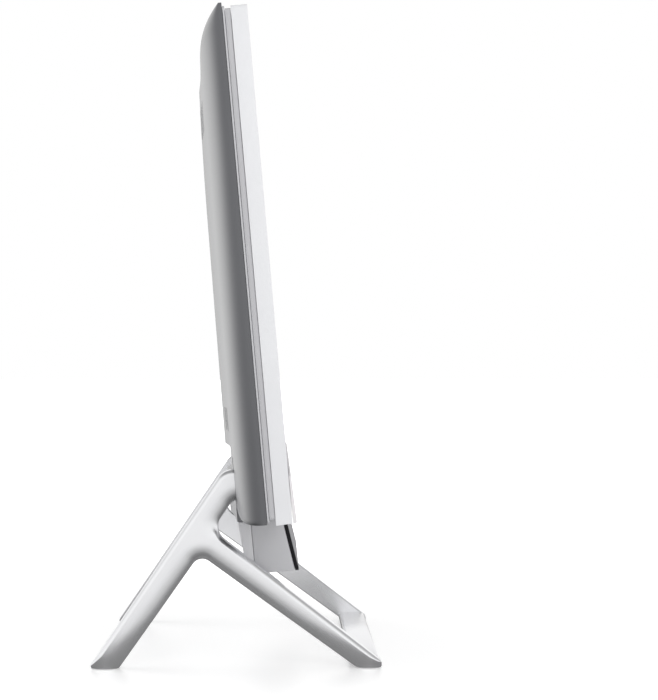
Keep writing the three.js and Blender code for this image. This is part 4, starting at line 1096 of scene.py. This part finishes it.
    def tongue(self, name: str, wall: float, low: float, high: float) -> Piece:
        """Makes the cover's middle that reaches down to the sound bar.

        Args:
            name: Its name.
            wall: How much smaller it is in plan.
            low: Its lower end.
            high: Its upper end.

        Returns:
            The body.
        """
        half = self.tongue_side - wall
        steps = 48
        level = self.bottom + self.bottom_taper
        plan = [(half, self.tongue_front + wall)]
        for step in range(steps + 1):
            x = half * (1.0 - 2.0 * step / steps)
            plan.append((x, self.front + self.lip + self.depth(x, level) - wall))
        plan.append((-half, self.tongue_front + wall))
        return sweep(name, Axis.Z, plan, low, high)

    def build(self) -> None:
        """Builds the shell with its recess, slots and tongue."""
        root = 6.0
        outer = self.body("cover_shell", 0.0)
        tongue_top = self.bottom + root
        boolean(outer, "UNION", self.tongue("tongue", 0.0, self.tongue_bottom, tongue_top))
        solid = duplicate(outer, "cover_solid")
        boolean(outer, "DIFFERENCE", self.body("cover_hollow", self.wall),
                self.tongue("tongue_hollow", self.wall, self.tongue_bottom + self.wall,
                            tongue_top + self.wall))
        boolean(outer, "UNION", boolean(self.recess("recess_tray", self.wall), "INTERSECT", solid))
        boolean(outer, "DIFFERENCE", gather(self.cutters()))
        smooth(outer)
        set_in(outer, Body.DISPLAY, COVER_SILVER, "rear_cover")

    def recess(self, name: str, wall: float) -> Piece:
        """Makes the block of the socket recess.

        Args:
            name: Its name.
            wall: How much larger it is than the recess.

        Returns:
            The block.
        """
        reach = 30.0
        side, low = self.recess_side + wall, self.recess_low - wall
        high = self.recess_low + self.recess_height + wall
        outline = rounded_rectangle(-side, side, low, high, self.recess_radius + wall)
        return sweep(name, Axis.Y, outline, self.recess_floor - wall, self.recess_floor + reach)

    def cutters(self) -> list[Piece]:
        """Makes everything that is cut out of the cover.

        Returns:
            The cutters, which don't touch each other.
        """
        found = [self.recess("recess_cut", 0.0), *self.socket_cutters(), *self.vent_cutters()]
        slot_gap, slot_top, slot_start, slot_reach, slot_radius = 1.3, 43.0, 24.0, 40.0, 5.0
        near, far = INNER_SIDE - slot_gap, STAND_WIDTH / 2 + slot_gap
        for side in Side:
            across = sorted((side.value * near, side.value * far))
            outline = rounded_rectangle(*across, -slot_reach, slot_top, slot_radius)
            found.append(sweep(f"arm_slot_{side.word}", Axis.Y, outline, slot_start,
                               slot_start + slot_reach))
        camera_side, camera_front, camera_back, camera_radius = 42.5, 22.1, 29.5, 1.7
        outline = rounded_rectangle(-camera_side, camera_side, camera_front, camera_back, camera_radius)
        found.append(sweep("camera_slot", Axis.Z, outline, self.top - self.top_taper,
                           self.top + self.top_taper))
        return found

    def socket_cutters(self) -> list[Piece]:
        """Makes the cutters for the rear sockets, the small sockets and the buttons.

        Returns:
            The cutters.
        """
        found = []
        for name in REAR_SOCKETS:
            low, high = local_box(name)
            found.append(block(f"{name}_cut", (low.x - GAP, low.y, low.z - GAP),
                               (high.x + GAP, self.recess_floor - WELD, high.z + GAP)))
        collar = 0.9
        for name in (*LOW_SOCKETS, *KEYS):
            low, high = local_box(name)
            inset = collar if name in KEYS else -GAP
            found.append(block(f"{name}_cut", (low.x + inset, low.y + inset, self.bottom - 2 * self.wall),
                               (high.x - inset, high.y - inset, self.bottom + 2 * self.wall)))
        return found

    def vent_cutters(self) -> list[Piece]:
        """Makes the cutters for the vent slots at the top and over the sockets.

        Returns:
            The cutters.
        """
        width, pitch, reach = 3.0, 9.0, 40.0
        start = self.front + self.lip + self.wall
        exhaust_count, exhaust_low, exhaust_high = 18, 316.0, 342.0
        intake_count, intake_low, intake_high, intake_middle = 7, 62.0, 82.0, 62.0
        rows = [(0.0, exhaust_count, exhaust_low, exhaust_high),
                (-intake_middle, intake_count, intake_low, intake_high),
                (intake_middle, intake_count, intake_low, intake_high)]
        found = []
        for middle, count, low, high in rows:
            for index in range(count):
                x = middle + (index - (count - 1) / 2) * pitch
                outline = rounded_rectangle(x - width / 2, x + width / 2, low, high, width / 2 - WELD,
                                            steps=4)
                found.append(sweep(f"vent_{middle:.0f}_{index}", Axis.Y, outline, start, start + reach))
        return found


@dataclass
class Front:
    """The front of the display body: bezel, chin, cover glass and the dark panel behind it.

    Attributes:
        chin_height: Height of the chin.
        chin_top_proud: How far the chin stands proud at its top.
        chin_bottom_proud: How far it stands proud at its bottom.
        chin_radius: Rounding of the chin's front edges.
        bottom_drop: How far the chin reaches under the body's origin.
    """

    chin_height: float = 33.3
    chin_top_proud: float = 1.6
    chin_bottom_proud: float = 3.2
    chin_radius: float = 1.2
    bottom_drop: float = 1.4

    def build(self, nodes: dict[str, Piece]) -> None:
        """Builds the front's pieces.

        Args:
            nodes: The frame's solids by name.
        """
        bezel = soften(copy_of(nodes["front_bezel"], Body.DISPLAY, "bezel_frame"), width=0.25)
        set_in(bezel, Body.DISPLAY, PEARL_WHITE, "front_bezel")
        self.build_chin()
        self.build_glass()

    def build_chin(self) -> None:
        """Sweeps the chin's profile and rounds its ends."""
        top = self.chin_height - GAP
        radius = self.chin_radius
        profile = [(-GAP, -self.bottom_drop), (-GAP, top)]
        corners = ((-self.chin_top_proud, top - radius, 90.0),
                   (-self.chin_bottom_proud, radius - self.bottom_drop, 180.0))
        steps = 8
        for front, height, start in corners:
            for step in range(steps + 1):
                turn = math.radians(start + 90.0 * step / steps)
                profile.append((front + radius * (1.0 + math.cos(turn)), height + radius * math.sin(turn)))
        chin = soften(sweep("chin_moulding", Axis.X, profile, -HALF_WIDTH, HALF_WIDTH), width=0.6)
        set_in(chin, Body.DISPLAY, WARM_WHITE, "chin_panel")

    def build_glass(self) -> None:
        """Builds the cover glass with ground edges, over the dark panel."""
        for node, name, finish, slot in (("cover_glass", "front_glass", BLACK_GLASS, "cover_glass"),
                                         ("display_panel", "dark_display", DARK_PANEL, "panel_dark")):
            pane = soften(block(name, *local_box(node)), width=0.2, segments=2)
            set_in(pane, Body.DISPLAY, finish, node)


@dataclass
class Rims:
    """The two thin rims between bezel and cover: the gray chassis and the bright trim.

    Attributes:
        trim_front: Depth of the trim's front.
        trim_back: Depth of its back.
        trim_width: Its width all round.
        trim_bottom: Its lower edge.
        corner_radius: Rounding of its corners.
    """

    trim_front: float = 16.8
    trim_back: float = 18.2
    trim_width: float = 5.0
    trim_bottom: float = -0.4
    corner_radius: float = 3.0

    def build(self, nodes: dict[str, Piece]) -> None:
        """Builds the rims.

        Args:
            nodes: The frame's solids by name.
        """
        chassis = copy_of(nodes["chassis_frame"], Body.DISPLAY, "chassis_plate")
        soften(chassis, width=0.12, segments=2)
        set_in(chassis, Body.DISPLAY, CHASSIS_GRAY, "chassis_frame")
        outline = rounded_rectangle(-HALF_WIDTH, HALF_WIDTH, self.trim_bottom, DISPLAY_HEIGHT,
                                    self.corner_radius)
        trim = sweep("trim_line", Axis.Y, outline, self.trim_front, self.trim_back)
        inside = HALF_WIDTH - self.trim_width
        window = block("trim_window", (-inside, self.trim_front - GAP, self.trim_bottom + self.trim_width),
                       (inside, self.trim_back + GAP, DISPLAY_HEIGHT - self.trim_width))
        soften(boolean(trim, "DIFFERENCE", window), width=0.3)
        set_in(trim, Body.DISPLAY, TRIM_BRIGHT, "trim_ring")


@dataclass
class SoundBar:
    """The sound bar under the display: housing, gasket, cloth grille and back shell.

    Attributes:
        half: Half of its length.
        top: Its top.
        bottom: Its bottom.
        front_depth: Depth of its front plane at the top.
        slant: Slant of its front plane, in degrees.
        seam: Depth of the seam to the back shell.
        gasket_thickness: Thickness of the gasket.
        gasket_rim: Width of the gasket's rim.
        cloth_thickness: Thickness of the grille.
        back_top_depth: Depth of the back shell at its top.
        back_bottom_depth: Depth of it at its bottom.
        back_top: Top of the back shell.
        back_radius: Height of the rounding of the back shell's lower edge.
    """

    half: float = INNER_SIDE - 3.0
    top: float = -3.0
    bottom: float = -53.9
    front_depth: float = 6.2
    slant: float = 9.1
    seam: float = 33.5
    gasket_thickness: float = 2.9
    gasket_rim: float = 2.2
    cloth_thickness: float = 1.2
    back_top_depth: float = 44.0
    back_bottom_depth: float = 40.0
    back_top: float = -11.0
    back_radius: float = 7.0

    def front(self, z: float, offset: float = 0.0) -> float:
        """Gives the depth of the slanted front plane.

        Args:
            z: Height.
            offset: Distance behind the plane.

        Returns:
            The depth.
        """
        slant = math.radians(self.slant)
        return self.front_depth + (z - self.top) * math.tan(slant) + offset / math.cos(slant)

    def layer(self, name: str, near: float, far: float, margin: float) -> Piece:
        """Makes a slab that lies along the front plane.

        Args:
            name: Its name.
            near: Its front's distance behind the plane.
            far: Its back's distance behind the plane.
            margin: How much smaller it is than the bar, all round.

        Returns:
            The slab.
        """
        low, high = self.bottom + margin, self.top - margin
        outline = [(self.front(low, near), low), (self.front(low, far), low),
                   (self.front(high, far), high), (self.front(high, near), high)]
        return sweep(name, Axis.X, outline, margin - self.half, self.half - margin)

    def build(self, nodes: dict[str, Piece]) -> None:
        """Builds the bar's pieces.

        Args:
            nodes: The frame's solids by name.
        """
        housing = copy_of(nodes["sound_bar_housing"], Body.DISPLAY, "bar_housing")
        behind = block("housing_end", (-INNER_SIDE, self.seam, self.bottom - GAP),
                       (INNER_SIDE, self.back_top_depth, self.back_top + GAP))
        soften(boolean(housing, "DIFFERENCE", behind), width=0.5)
        set_in(housing, Body.DISPLAY, BAR_GRAY, "sound_bar_housing")
        gasket = self.layer("bar_gasket", 0.0, self.gasket_thickness, 0.0)
        window = self.layer("gasket_window", -self.gasket_thickness, 2 * self.gasket_thickness,
                            self.gasket_rim)
        soften(boolean(gasket, "DIFFERENCE", window), width=0.4)
        set_in(gasket, Body.DISPLAY, GASKET_RUBBER, "sound_bar_gasket")
        cloth = self.layer("bar_cloth", 0.0, self.cloth_thickness, self.gasket_rim + GAP)
        soften(cloth, width=0.5, segments=4)
        set_in(cloth, Body.DISPLAY, GRILLE_CLOTH, "sound_bar_grille")
        self.build_back()

    def build_back(self) -> None:
        """Sweeps the back shell with its rounded lower edge."""
        seam = self.seam + GAP
        steps, bevel = 10, 1.0
        start = Vector((self.back_bottom_depth - bevel, self.bottom))
        corner = Vector((self.back_bottom_depth, self.bottom))
        end = Vector((self.back_bottom_depth + bevel, self.bottom + self.back_radius))
        profile = [(seam, self.bottom)]
        for step in range(steps + 1):
            share = step / steps
            profile.append(tuple(start.lerp(corner, share).lerp(corner.lerp(end, share), share)))
        profile += [(self.back_top_depth, self.back_top - bevel),
                    (self.back_top_depth - bevel, self.back_top), (seam, self.back_top)]
        shell = soften(sweep("bar_back_shell", Axis.X, profile, -self.half, self.half), width=0.5)
        set_in(shell, Body.DISPLAY, BAR_BACK, "sound_bar_back")


@dataclass(frozen=True)
class Refinement:
    """A small solid that is carried over with its edges rounded.

    Attributes:
        node: The solid's node.
        name: Name of the piece.
        body: The body it rides on.
        slot: The record's material slot; not used.
        finish: Its finish.
        width: Width of the rounding.
    """

    node: str
    name: str
    body: Body
    slot: str
    finish: Finish
    width: float

    def build(self, nodes: dict[str, Piece]) -> None:
        """Builds the piece.

        Args:
            nodes: The frame's solids by name.
        """
        piece = soften(copy_of(nodes[self.node], self.body, self.name), self.width, segments=2)
        set_in(piece, self.body, self.finish, self.node)


# Studio


@dataclass(frozen=True)
class Studio:
    """Camera, lamps, floor and background, in metres.

    Attributes:
        camera_place: Where the camera stands.
        yaw: Turn of the view from straight across the product towards its front, in degrees.
        pitch: Rise of the view, in degrees.
        focal_length: Lens, in millimetres, on the camera's own sensor.
        clip: Nearest and farthest distance that the camera sees.
        aim: The point that the lamps shine at.
        key_place: Place of the large lamp beside the camera.
        key_size: Side of it.
        key_power: Its power, in watts.
        top_place: Place of the lamp overhead.
        top_size: Side of it.
        top_power: Its power, in watts.
        ambient: Strength of the world's light on matt surfaces.
        floor_size: Side of the floor.
        floor_shade: How light the floor is.
        floor_roughness: Roughness of the floor.
        mirrored_level: How bright a mirroring surface sees the world over the horizon.
        zenith_level: Share of that which is left overhead.
        zenith_start: Sine of the height over the horizon at which the world starts to dim.
        zenith_end: Sine of the height at which it is dimmest.
        nadir_level: Share of that which is left straight below.
        nadir_start: Sine of the height, under the horizon, at which the world starts to dim downwards.
        nadir_end: Sine of the height, under the horizon, at which that share is reached.
        foot_place: Middle of one foot, across and along.
        foot_reach: Distance from a foot out to which mirroring surfaces see painted shade on the floor.
        foot_edge: Width over which that shade ends.
        foot_level: Brightness of that painted shade, a dim glow in place of the floor's own shading.
        near_lift: What lifts the floor near the product where it is seen, short of white in its shadow.
        lift_start: Distance from which on the floor is lifted more.
        lift_end: Distance from which on the floor is plain white where it is seen.
    """

    camera_place: Triple = (-1.7, -0.0326, 0.2446)
    yaw: float = 1.548
    pitch: float = 0.447
    focal_length: float = 98.95
    clip: Point = (0.05, 100.0)
    aim: Triple = (0.0, 0.0, 0.25)
    key_place: Triple = (-2.3, -0.5, 1.0)
    key_size: float = 2.2
    key_power: float = 26.0
    top_place: Triple = (0.6, 0.9, 2.6)
    top_size: float = 2.0
    top_power: float = 12.0
    ambient: float = 0.5
    floor_size: float = 60.0
    floor_shade: float = 0.9
    floor_roughness: float = 0.3
    mirrored_level: float = 1.0
    zenith_level: float = 0.3
    zenith_start: float = 0.25
    zenith_end: float = 0.85
    nadir_level: float = 0.12
    nadir_start: float = -0.06
    nadir_end: float = -0.43
    foot_place: Point = (0.15, 0.107)
    foot_reach: float = 0.13
    foot_edge: float = 0.03
    foot_level: float = 0.19
    near_lift: float = 0.34
    lift_start: float = 0.17
    lift_end: float = 0.7

    def build(self) -> None:
        """Builds the whole studio."""
        self.add_camera()
        self.add_lamp("key_lamp", Vector(self.key_place), self.key_size, self.key_power)
        self.add_lamp("top_lamp", Vector(self.top_place), self.top_size, self.top_power)
        self.add_floor()
        self.add_world()

    def add_camera(self) -> None:
        """Adds the camera at the photograph's viewing angle."""
        data = bpy.data.cameras.new("camera")
        data.lens = self.focal_length
        data.clip_start, data.clip_end = self.clip
        camera = bpy.data.objects.new("camera", data)
        bpy.context.scene.collection.objects.link(camera)
        camera.location = self.camera_place
        camera.rotation_euler = (math.radians(90.0 + self.pitch), 0.0, math.radians(-90.0 - self.yaw))
        bpy.context.scene.camera = camera

    def add_lamp(self, name: str, place: Vector, size: float, power: float) -> None:
        """Adds a square soft lamp that shines on the product.

        Args:
            name: Name of the lamp.
            place: Where it hangs.
            size: Side of the lamp.
            power: Its power in watts.
        """
        data = bpy.data.lights.new(name, "AREA")
        data.shape = "SQUARE"
        data.size = size
        data.energy = power
        lamp = bpy.data.objects.new(name, data)
        bpy.context.scene.collection.objects.link(lamp)
        lamp.location = place
        lamp.visible_glossy = False
        lamp.rotation_euler = (Vector(self.aim) - place).to_track_quat("-Z", "Y").to_euler()

    def add_floor(self) -> None:
        """Adds the pale floor, which keeps the shadow and is lifted to white where it is seen; mirrors see
        painted shade on it round the feet, and the world through it elsewhere.
        """
        deselect()
        bpy.ops.mesh.primitive_plane_add(size=self.floor_size)
        floor = bpy.context.object
        floor.name = "floor"
        material = bpy.data.materials.new("floor_white")
        material.use_nodes = True
        tree = material.node_tree
        surface = tree.nodes["Principled BSDF"]
        surface.inputs["Base Color"].default_value = (*[self.floor_shade] * 3, 1.0)
        surface.inputs["Roughness"].default_value = self.floor_roughness
        surface.inputs["Emission Color"].default_value = (1.0, 1.0, 1.0, 1.0)
        place = tree.nodes.new("ShaderNodeTexCoord").outputs["Object"]
        path = tree.nodes.new("ShaderNodeLightPath").outputs
        away = self.worked_out(tree, "ShaderNodeVectorMath", "LENGTH", place)
        lift = self.ramp(tree, away.outputs["Value"], (self.lift_start, self.near_lift),
                         (self.lift_end, 1.0))
        directly = self.worked_out(tree, "ShaderNodeMath", "MAXIMUM", path["Is Camera Ray"],
                                   path["Is Transmission Ray"])
        seen = self.worked_out(tree, "ShaderNodeMath", "MULTIPLY", lift, directly.outputs["Value"])
        tree.links.new(seen.outputs["Value"], surface.inputs["Emission Strength"])
        # Painted shade: mirrors see a dim glow round the feet, and through the floor to the world
        # elsewhere.
        mirrored = self.blend(tree, self.clear_of_feet(tree, place), self.shade(tree),
                              tree.nodes.new("ShaderNodeBsdfTransparent").outputs["BSDF"])
        either = self.blend(tree, path["Is Glossy Ray"], surface.outputs["BSDF"], mirrored)
        tree.links.new(either, tree.nodes["Material Output"].inputs["Surface"])
        material.cycles.emission_sampling = "NONE"
        floor.data.materials.append(material)

    def clear_of_feet(self, tree: Tree, place: Socket) -> Socket:
        """Tells which parts of the floor lie away from the feet, out of the painted shade that mirrors
        see.

        Args:
            tree: The floor's node tree.
            place: The socket with the place on the floor.

        Returns:
            A socket that is 0 round the feet and 1 away from them.
        """
        quarter = self.worked_out(tree, "ShaderNodeVectorMath", "ABSOLUTE", place)
        from_foot = self.worked_out(tree, "ShaderNodeVectorMath", "DISTANCE", quarter.outputs["Vector"])
        from_foot.inputs[1].default_value = (*self.foot_place, 0.0)
        return self.ramp(tree, from_foot.outputs["Value"], (self.foot_reach, 0.0),
                         (self.foot_reach + self.foot_edge, 1.0))

    def shade(self, tree: Tree) -> Socket:
        """Gives the painted shade round the feet: a dim glow that mirroring surfaces see on the floor.

        Args:
            tree: The floor's node tree.

        Returns:
            The socket with the shader.
        """
        shade = tree.nodes.new("ShaderNodeEmission")
        shade.inputs["Strength"].default_value = self.foot_level
        return shade.outputs["Emission"]

    def add_world(self) -> None:
        """Adds a world that is white where it is seen, graded in mirrors, and dimmer as a light."""
        world = bpy.data.worlds.new("studio")
        bpy.context.scene.world = world
        world.use_nodes = True
        tree = world.node_tree
        background = tree.nodes["Background"]
        background.inputs["Color"].default_value = (1.0, 1.0, 1.0, 1.0)
        height = tree.nodes.new("ShaderNodeSeparateXYZ")
        tree.links.new(tree.nodes.new("ShaderNodeTexCoord").outputs["Generated"], height.inputs["Vector"])
        upper = self.ramp(tree, height.outputs["Z"], (self.zenith_start, self.mirrored_level),
                          (self.zenith_end, self.mirrored_level * self.zenith_level))
        lower = self.ramp(tree, height.outputs["Z"], (self.nadir_end, self.nadir_level),
                          (self.nadir_start, 1.0))
        graded = self.worked_out(tree, "ShaderNodeMath", "MULTIPLY", upper, lower).outputs["Value"]
        path = tree.nodes.new("ShaderNodeLightPath").outputs
        lit = self.choose(tree, path["Is Glossy Ray"], self.ambient, graded)
        seen = self.choose(tree, path["Is Camera Ray"], lit, 1.0)
        level = self.choose(tree, path["Is Transmission Ray"], seen, 1.0)
        tree.links.new(level, background.inputs["Strength"])

    @staticmethod
    def blend(tree: Tree, share: Socket, first: Socket, second: Socket) -> Socket:
        """Blends two shaders.

        Args:
            tree: The node tree to add to.
            share: A socket with the share of the second shader.
            first: One shader.
            second: The other shader.

        Returns:
            The socket with the blended shader.
        """
        node = tree.nodes.new("ShaderNodeMixShader")
        for place, socket in enumerate((share, first, second)):
            tree.links.new(socket, node.inputs[place])
        return node.outputs["Shader"]

    @staticmethod
    def ramp(tree: Tree, value: Socket, first: Point, last: Point) -> Socket:
        """Maps a value smoothly between two ends.

        Args:
            tree: The node tree to add to.
            value: The value to map.
            first: Where the ramp starts, and its level up to there.
            last: Where the ramp ends, and its level from there on.

        Returns:
            The socket with the level.
        """
        node = tree.nodes.new("ShaderNodeMapRange")
        node.interpolation_type = "SMOOTHSTEP"
        node.inputs["From Min"].default_value, node.inputs["To Min"].default_value = first
        node.inputs["From Max"].default_value, node.inputs["To Max"].default_value = last
        tree.links.new(value, node.inputs["Value"])
        return node.outputs["Result"]

    @staticmethod
    def choose(tree: Tree, question: Socket, no: float | Socket, yes: float | Socket) -> Socket:
        """Chooses between two levels.

        Args:
            tree: The node tree to add to.
            question: A socket that is 0 or 1.
            no: The level for 0, a number or a socket.
            yes: The level for 1, a number or a socket.

        Returns:
            The socket with the chosen level.
        """
        node = tree.nodes.new("ShaderNodeMix")
        tree.links.new(question, node.inputs["Factor"])
        for name, level in (("A", no), ("B", yes)):
            if isinstance(level, float):
                node.inputs[name].default_value = level
            else:
                tree.links.new(level, node.inputs[name])
        return node.outputs["Result"]

    @staticmethod
    def worked_out(tree: Tree, kind: str, operation: str, *values: Socket) -> bpy.types.Node:
        """Adds a node that works something out from values.

        Args:
            tree: The node tree to add to.
            kind: Type of the node.
            operation: What it works out.
            values: The sockets to work on.

        Returns:
            The node.
        """
        node = tree.nodes.new(kind)
        node.operation = operation
        for place, value in enumerate(values):
            tree.links.new(value, node.inputs[place])
        return node


# The whole product


def small_pieces() -> list[Refinement]:
    """Lists the small solids that are carried over with rounded edges.

    Returns:
        One refinement for each.
    """
    found = []

    def add(body: Body, slot: str, finish: Finish, *nodes: str, width: float = 0.3) -> None:
        """Adds some solids with the same finish.

        Args:
            body: The body they ride on.
            slot: The record's material slot.
            finish: Their finish.
            nodes: Their nodes.
            width: Width of the rounding.
        """
        found.extend(Refinement(node, f"{node}_piece", body, slot, finish, width) for node in nodes)

    for side in Side:
        add(Body.STAND, "foot_rubber", PAD_RUBBER, f"foot_pad_rear_{side.word}",
            f"foot_pad_front_{side.word}", width=0.4)
        add(Body.DISPLAY, "hinge_steel", BARE_STEEL, f"hinge_bracket_{side.word}",
            f"hinge_screw_{side.word}_low", f"hinge_screw_{side.word}_high")
    add(Body.DISPLAY, "sheet_steel", BARE_STEEL, "network_socket", "picture_in_socket",
        "picture_out_socket", "usb_sockets_right", "usb_sockets_left", "small_usb_socket", "card_slot",
        width=0.2)
    add(Body.DISPLAY, "fan_plastic", FAN_BLACK, "power_inlet", "headset_socket", "camera_guide",
        "fan_housing", width=0.25)
    add(Body.CAMERA, "trim_metal", SATIN_SILVER, "camera_carriage")
    add(Body.CAMERA, "lens_glass", BLACK_GLASS, "camera_lens")
    add(Body.POWER_KEY, "trim_metal", SATIN_SILVER, "power_button")
    add(Body.SOURCE_KEY, "trim_metal", SATIN_SILVER, "source_button")
    return found


NODE_FINISHES: tuple[tuple[Finish, tuple[str, ...]], ...] = (
    (CLEAR_GUIDE, ("light_guide",)),
    (BARE_STEEL, ("backlight_tray", "hinge_shaft", "friction_washer_left", "friction_washer_right",
                  "drive_tray")),
    (BOARD_GREEN, ("mainboard", "side_board", "button_board")),
    (CHIP_BLACK, ("processor", "memory_module_low", "memory_module_high", "drive_stick",
                  "wireless_card", "speaker_left", "speaker_right")),
    (COPPER, ("cold_plate", "heat_pipe")),
    (BARE_ALUMINIUM, ("fin_stack", "hard_drive")),
    (FAN_BLACK, ("fan_rotor",)),
)


def dress_nodes(nodes: dict[str, Piece]) -> None:
    """Gives every solid that is shown as it is its finish.

    Args:
        nodes: The frame's solids by name.
    """
    for finish, names in NODE_FINISHES:
        for name in names:
            nodes[name].data.materials.clear()
            nodes[name].data.materials.append(finish.material())


def main() -> None:
    """Builds the studio and dresses the product."""
    logging.basicConfig(level=logging.INFO, format="%(name)s: %(message)s")
    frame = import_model()
    bpy.context.scene.view_settings.view_transform = "Standard"
    nodes = frame["nodes"]
    Studio().build()
    frames = SideFrames()
    frames.build()
    CrossBar().build(frames.toe)
    RearCover().build()
    Front().build(nodes)
    Rims().build(nodes)
    SoundBar().build(nodes)
    for piece in small_pieces():
        piece.build(nodes)
    dress_nodes(nodes)


if __name__ == "__main__":
    main()
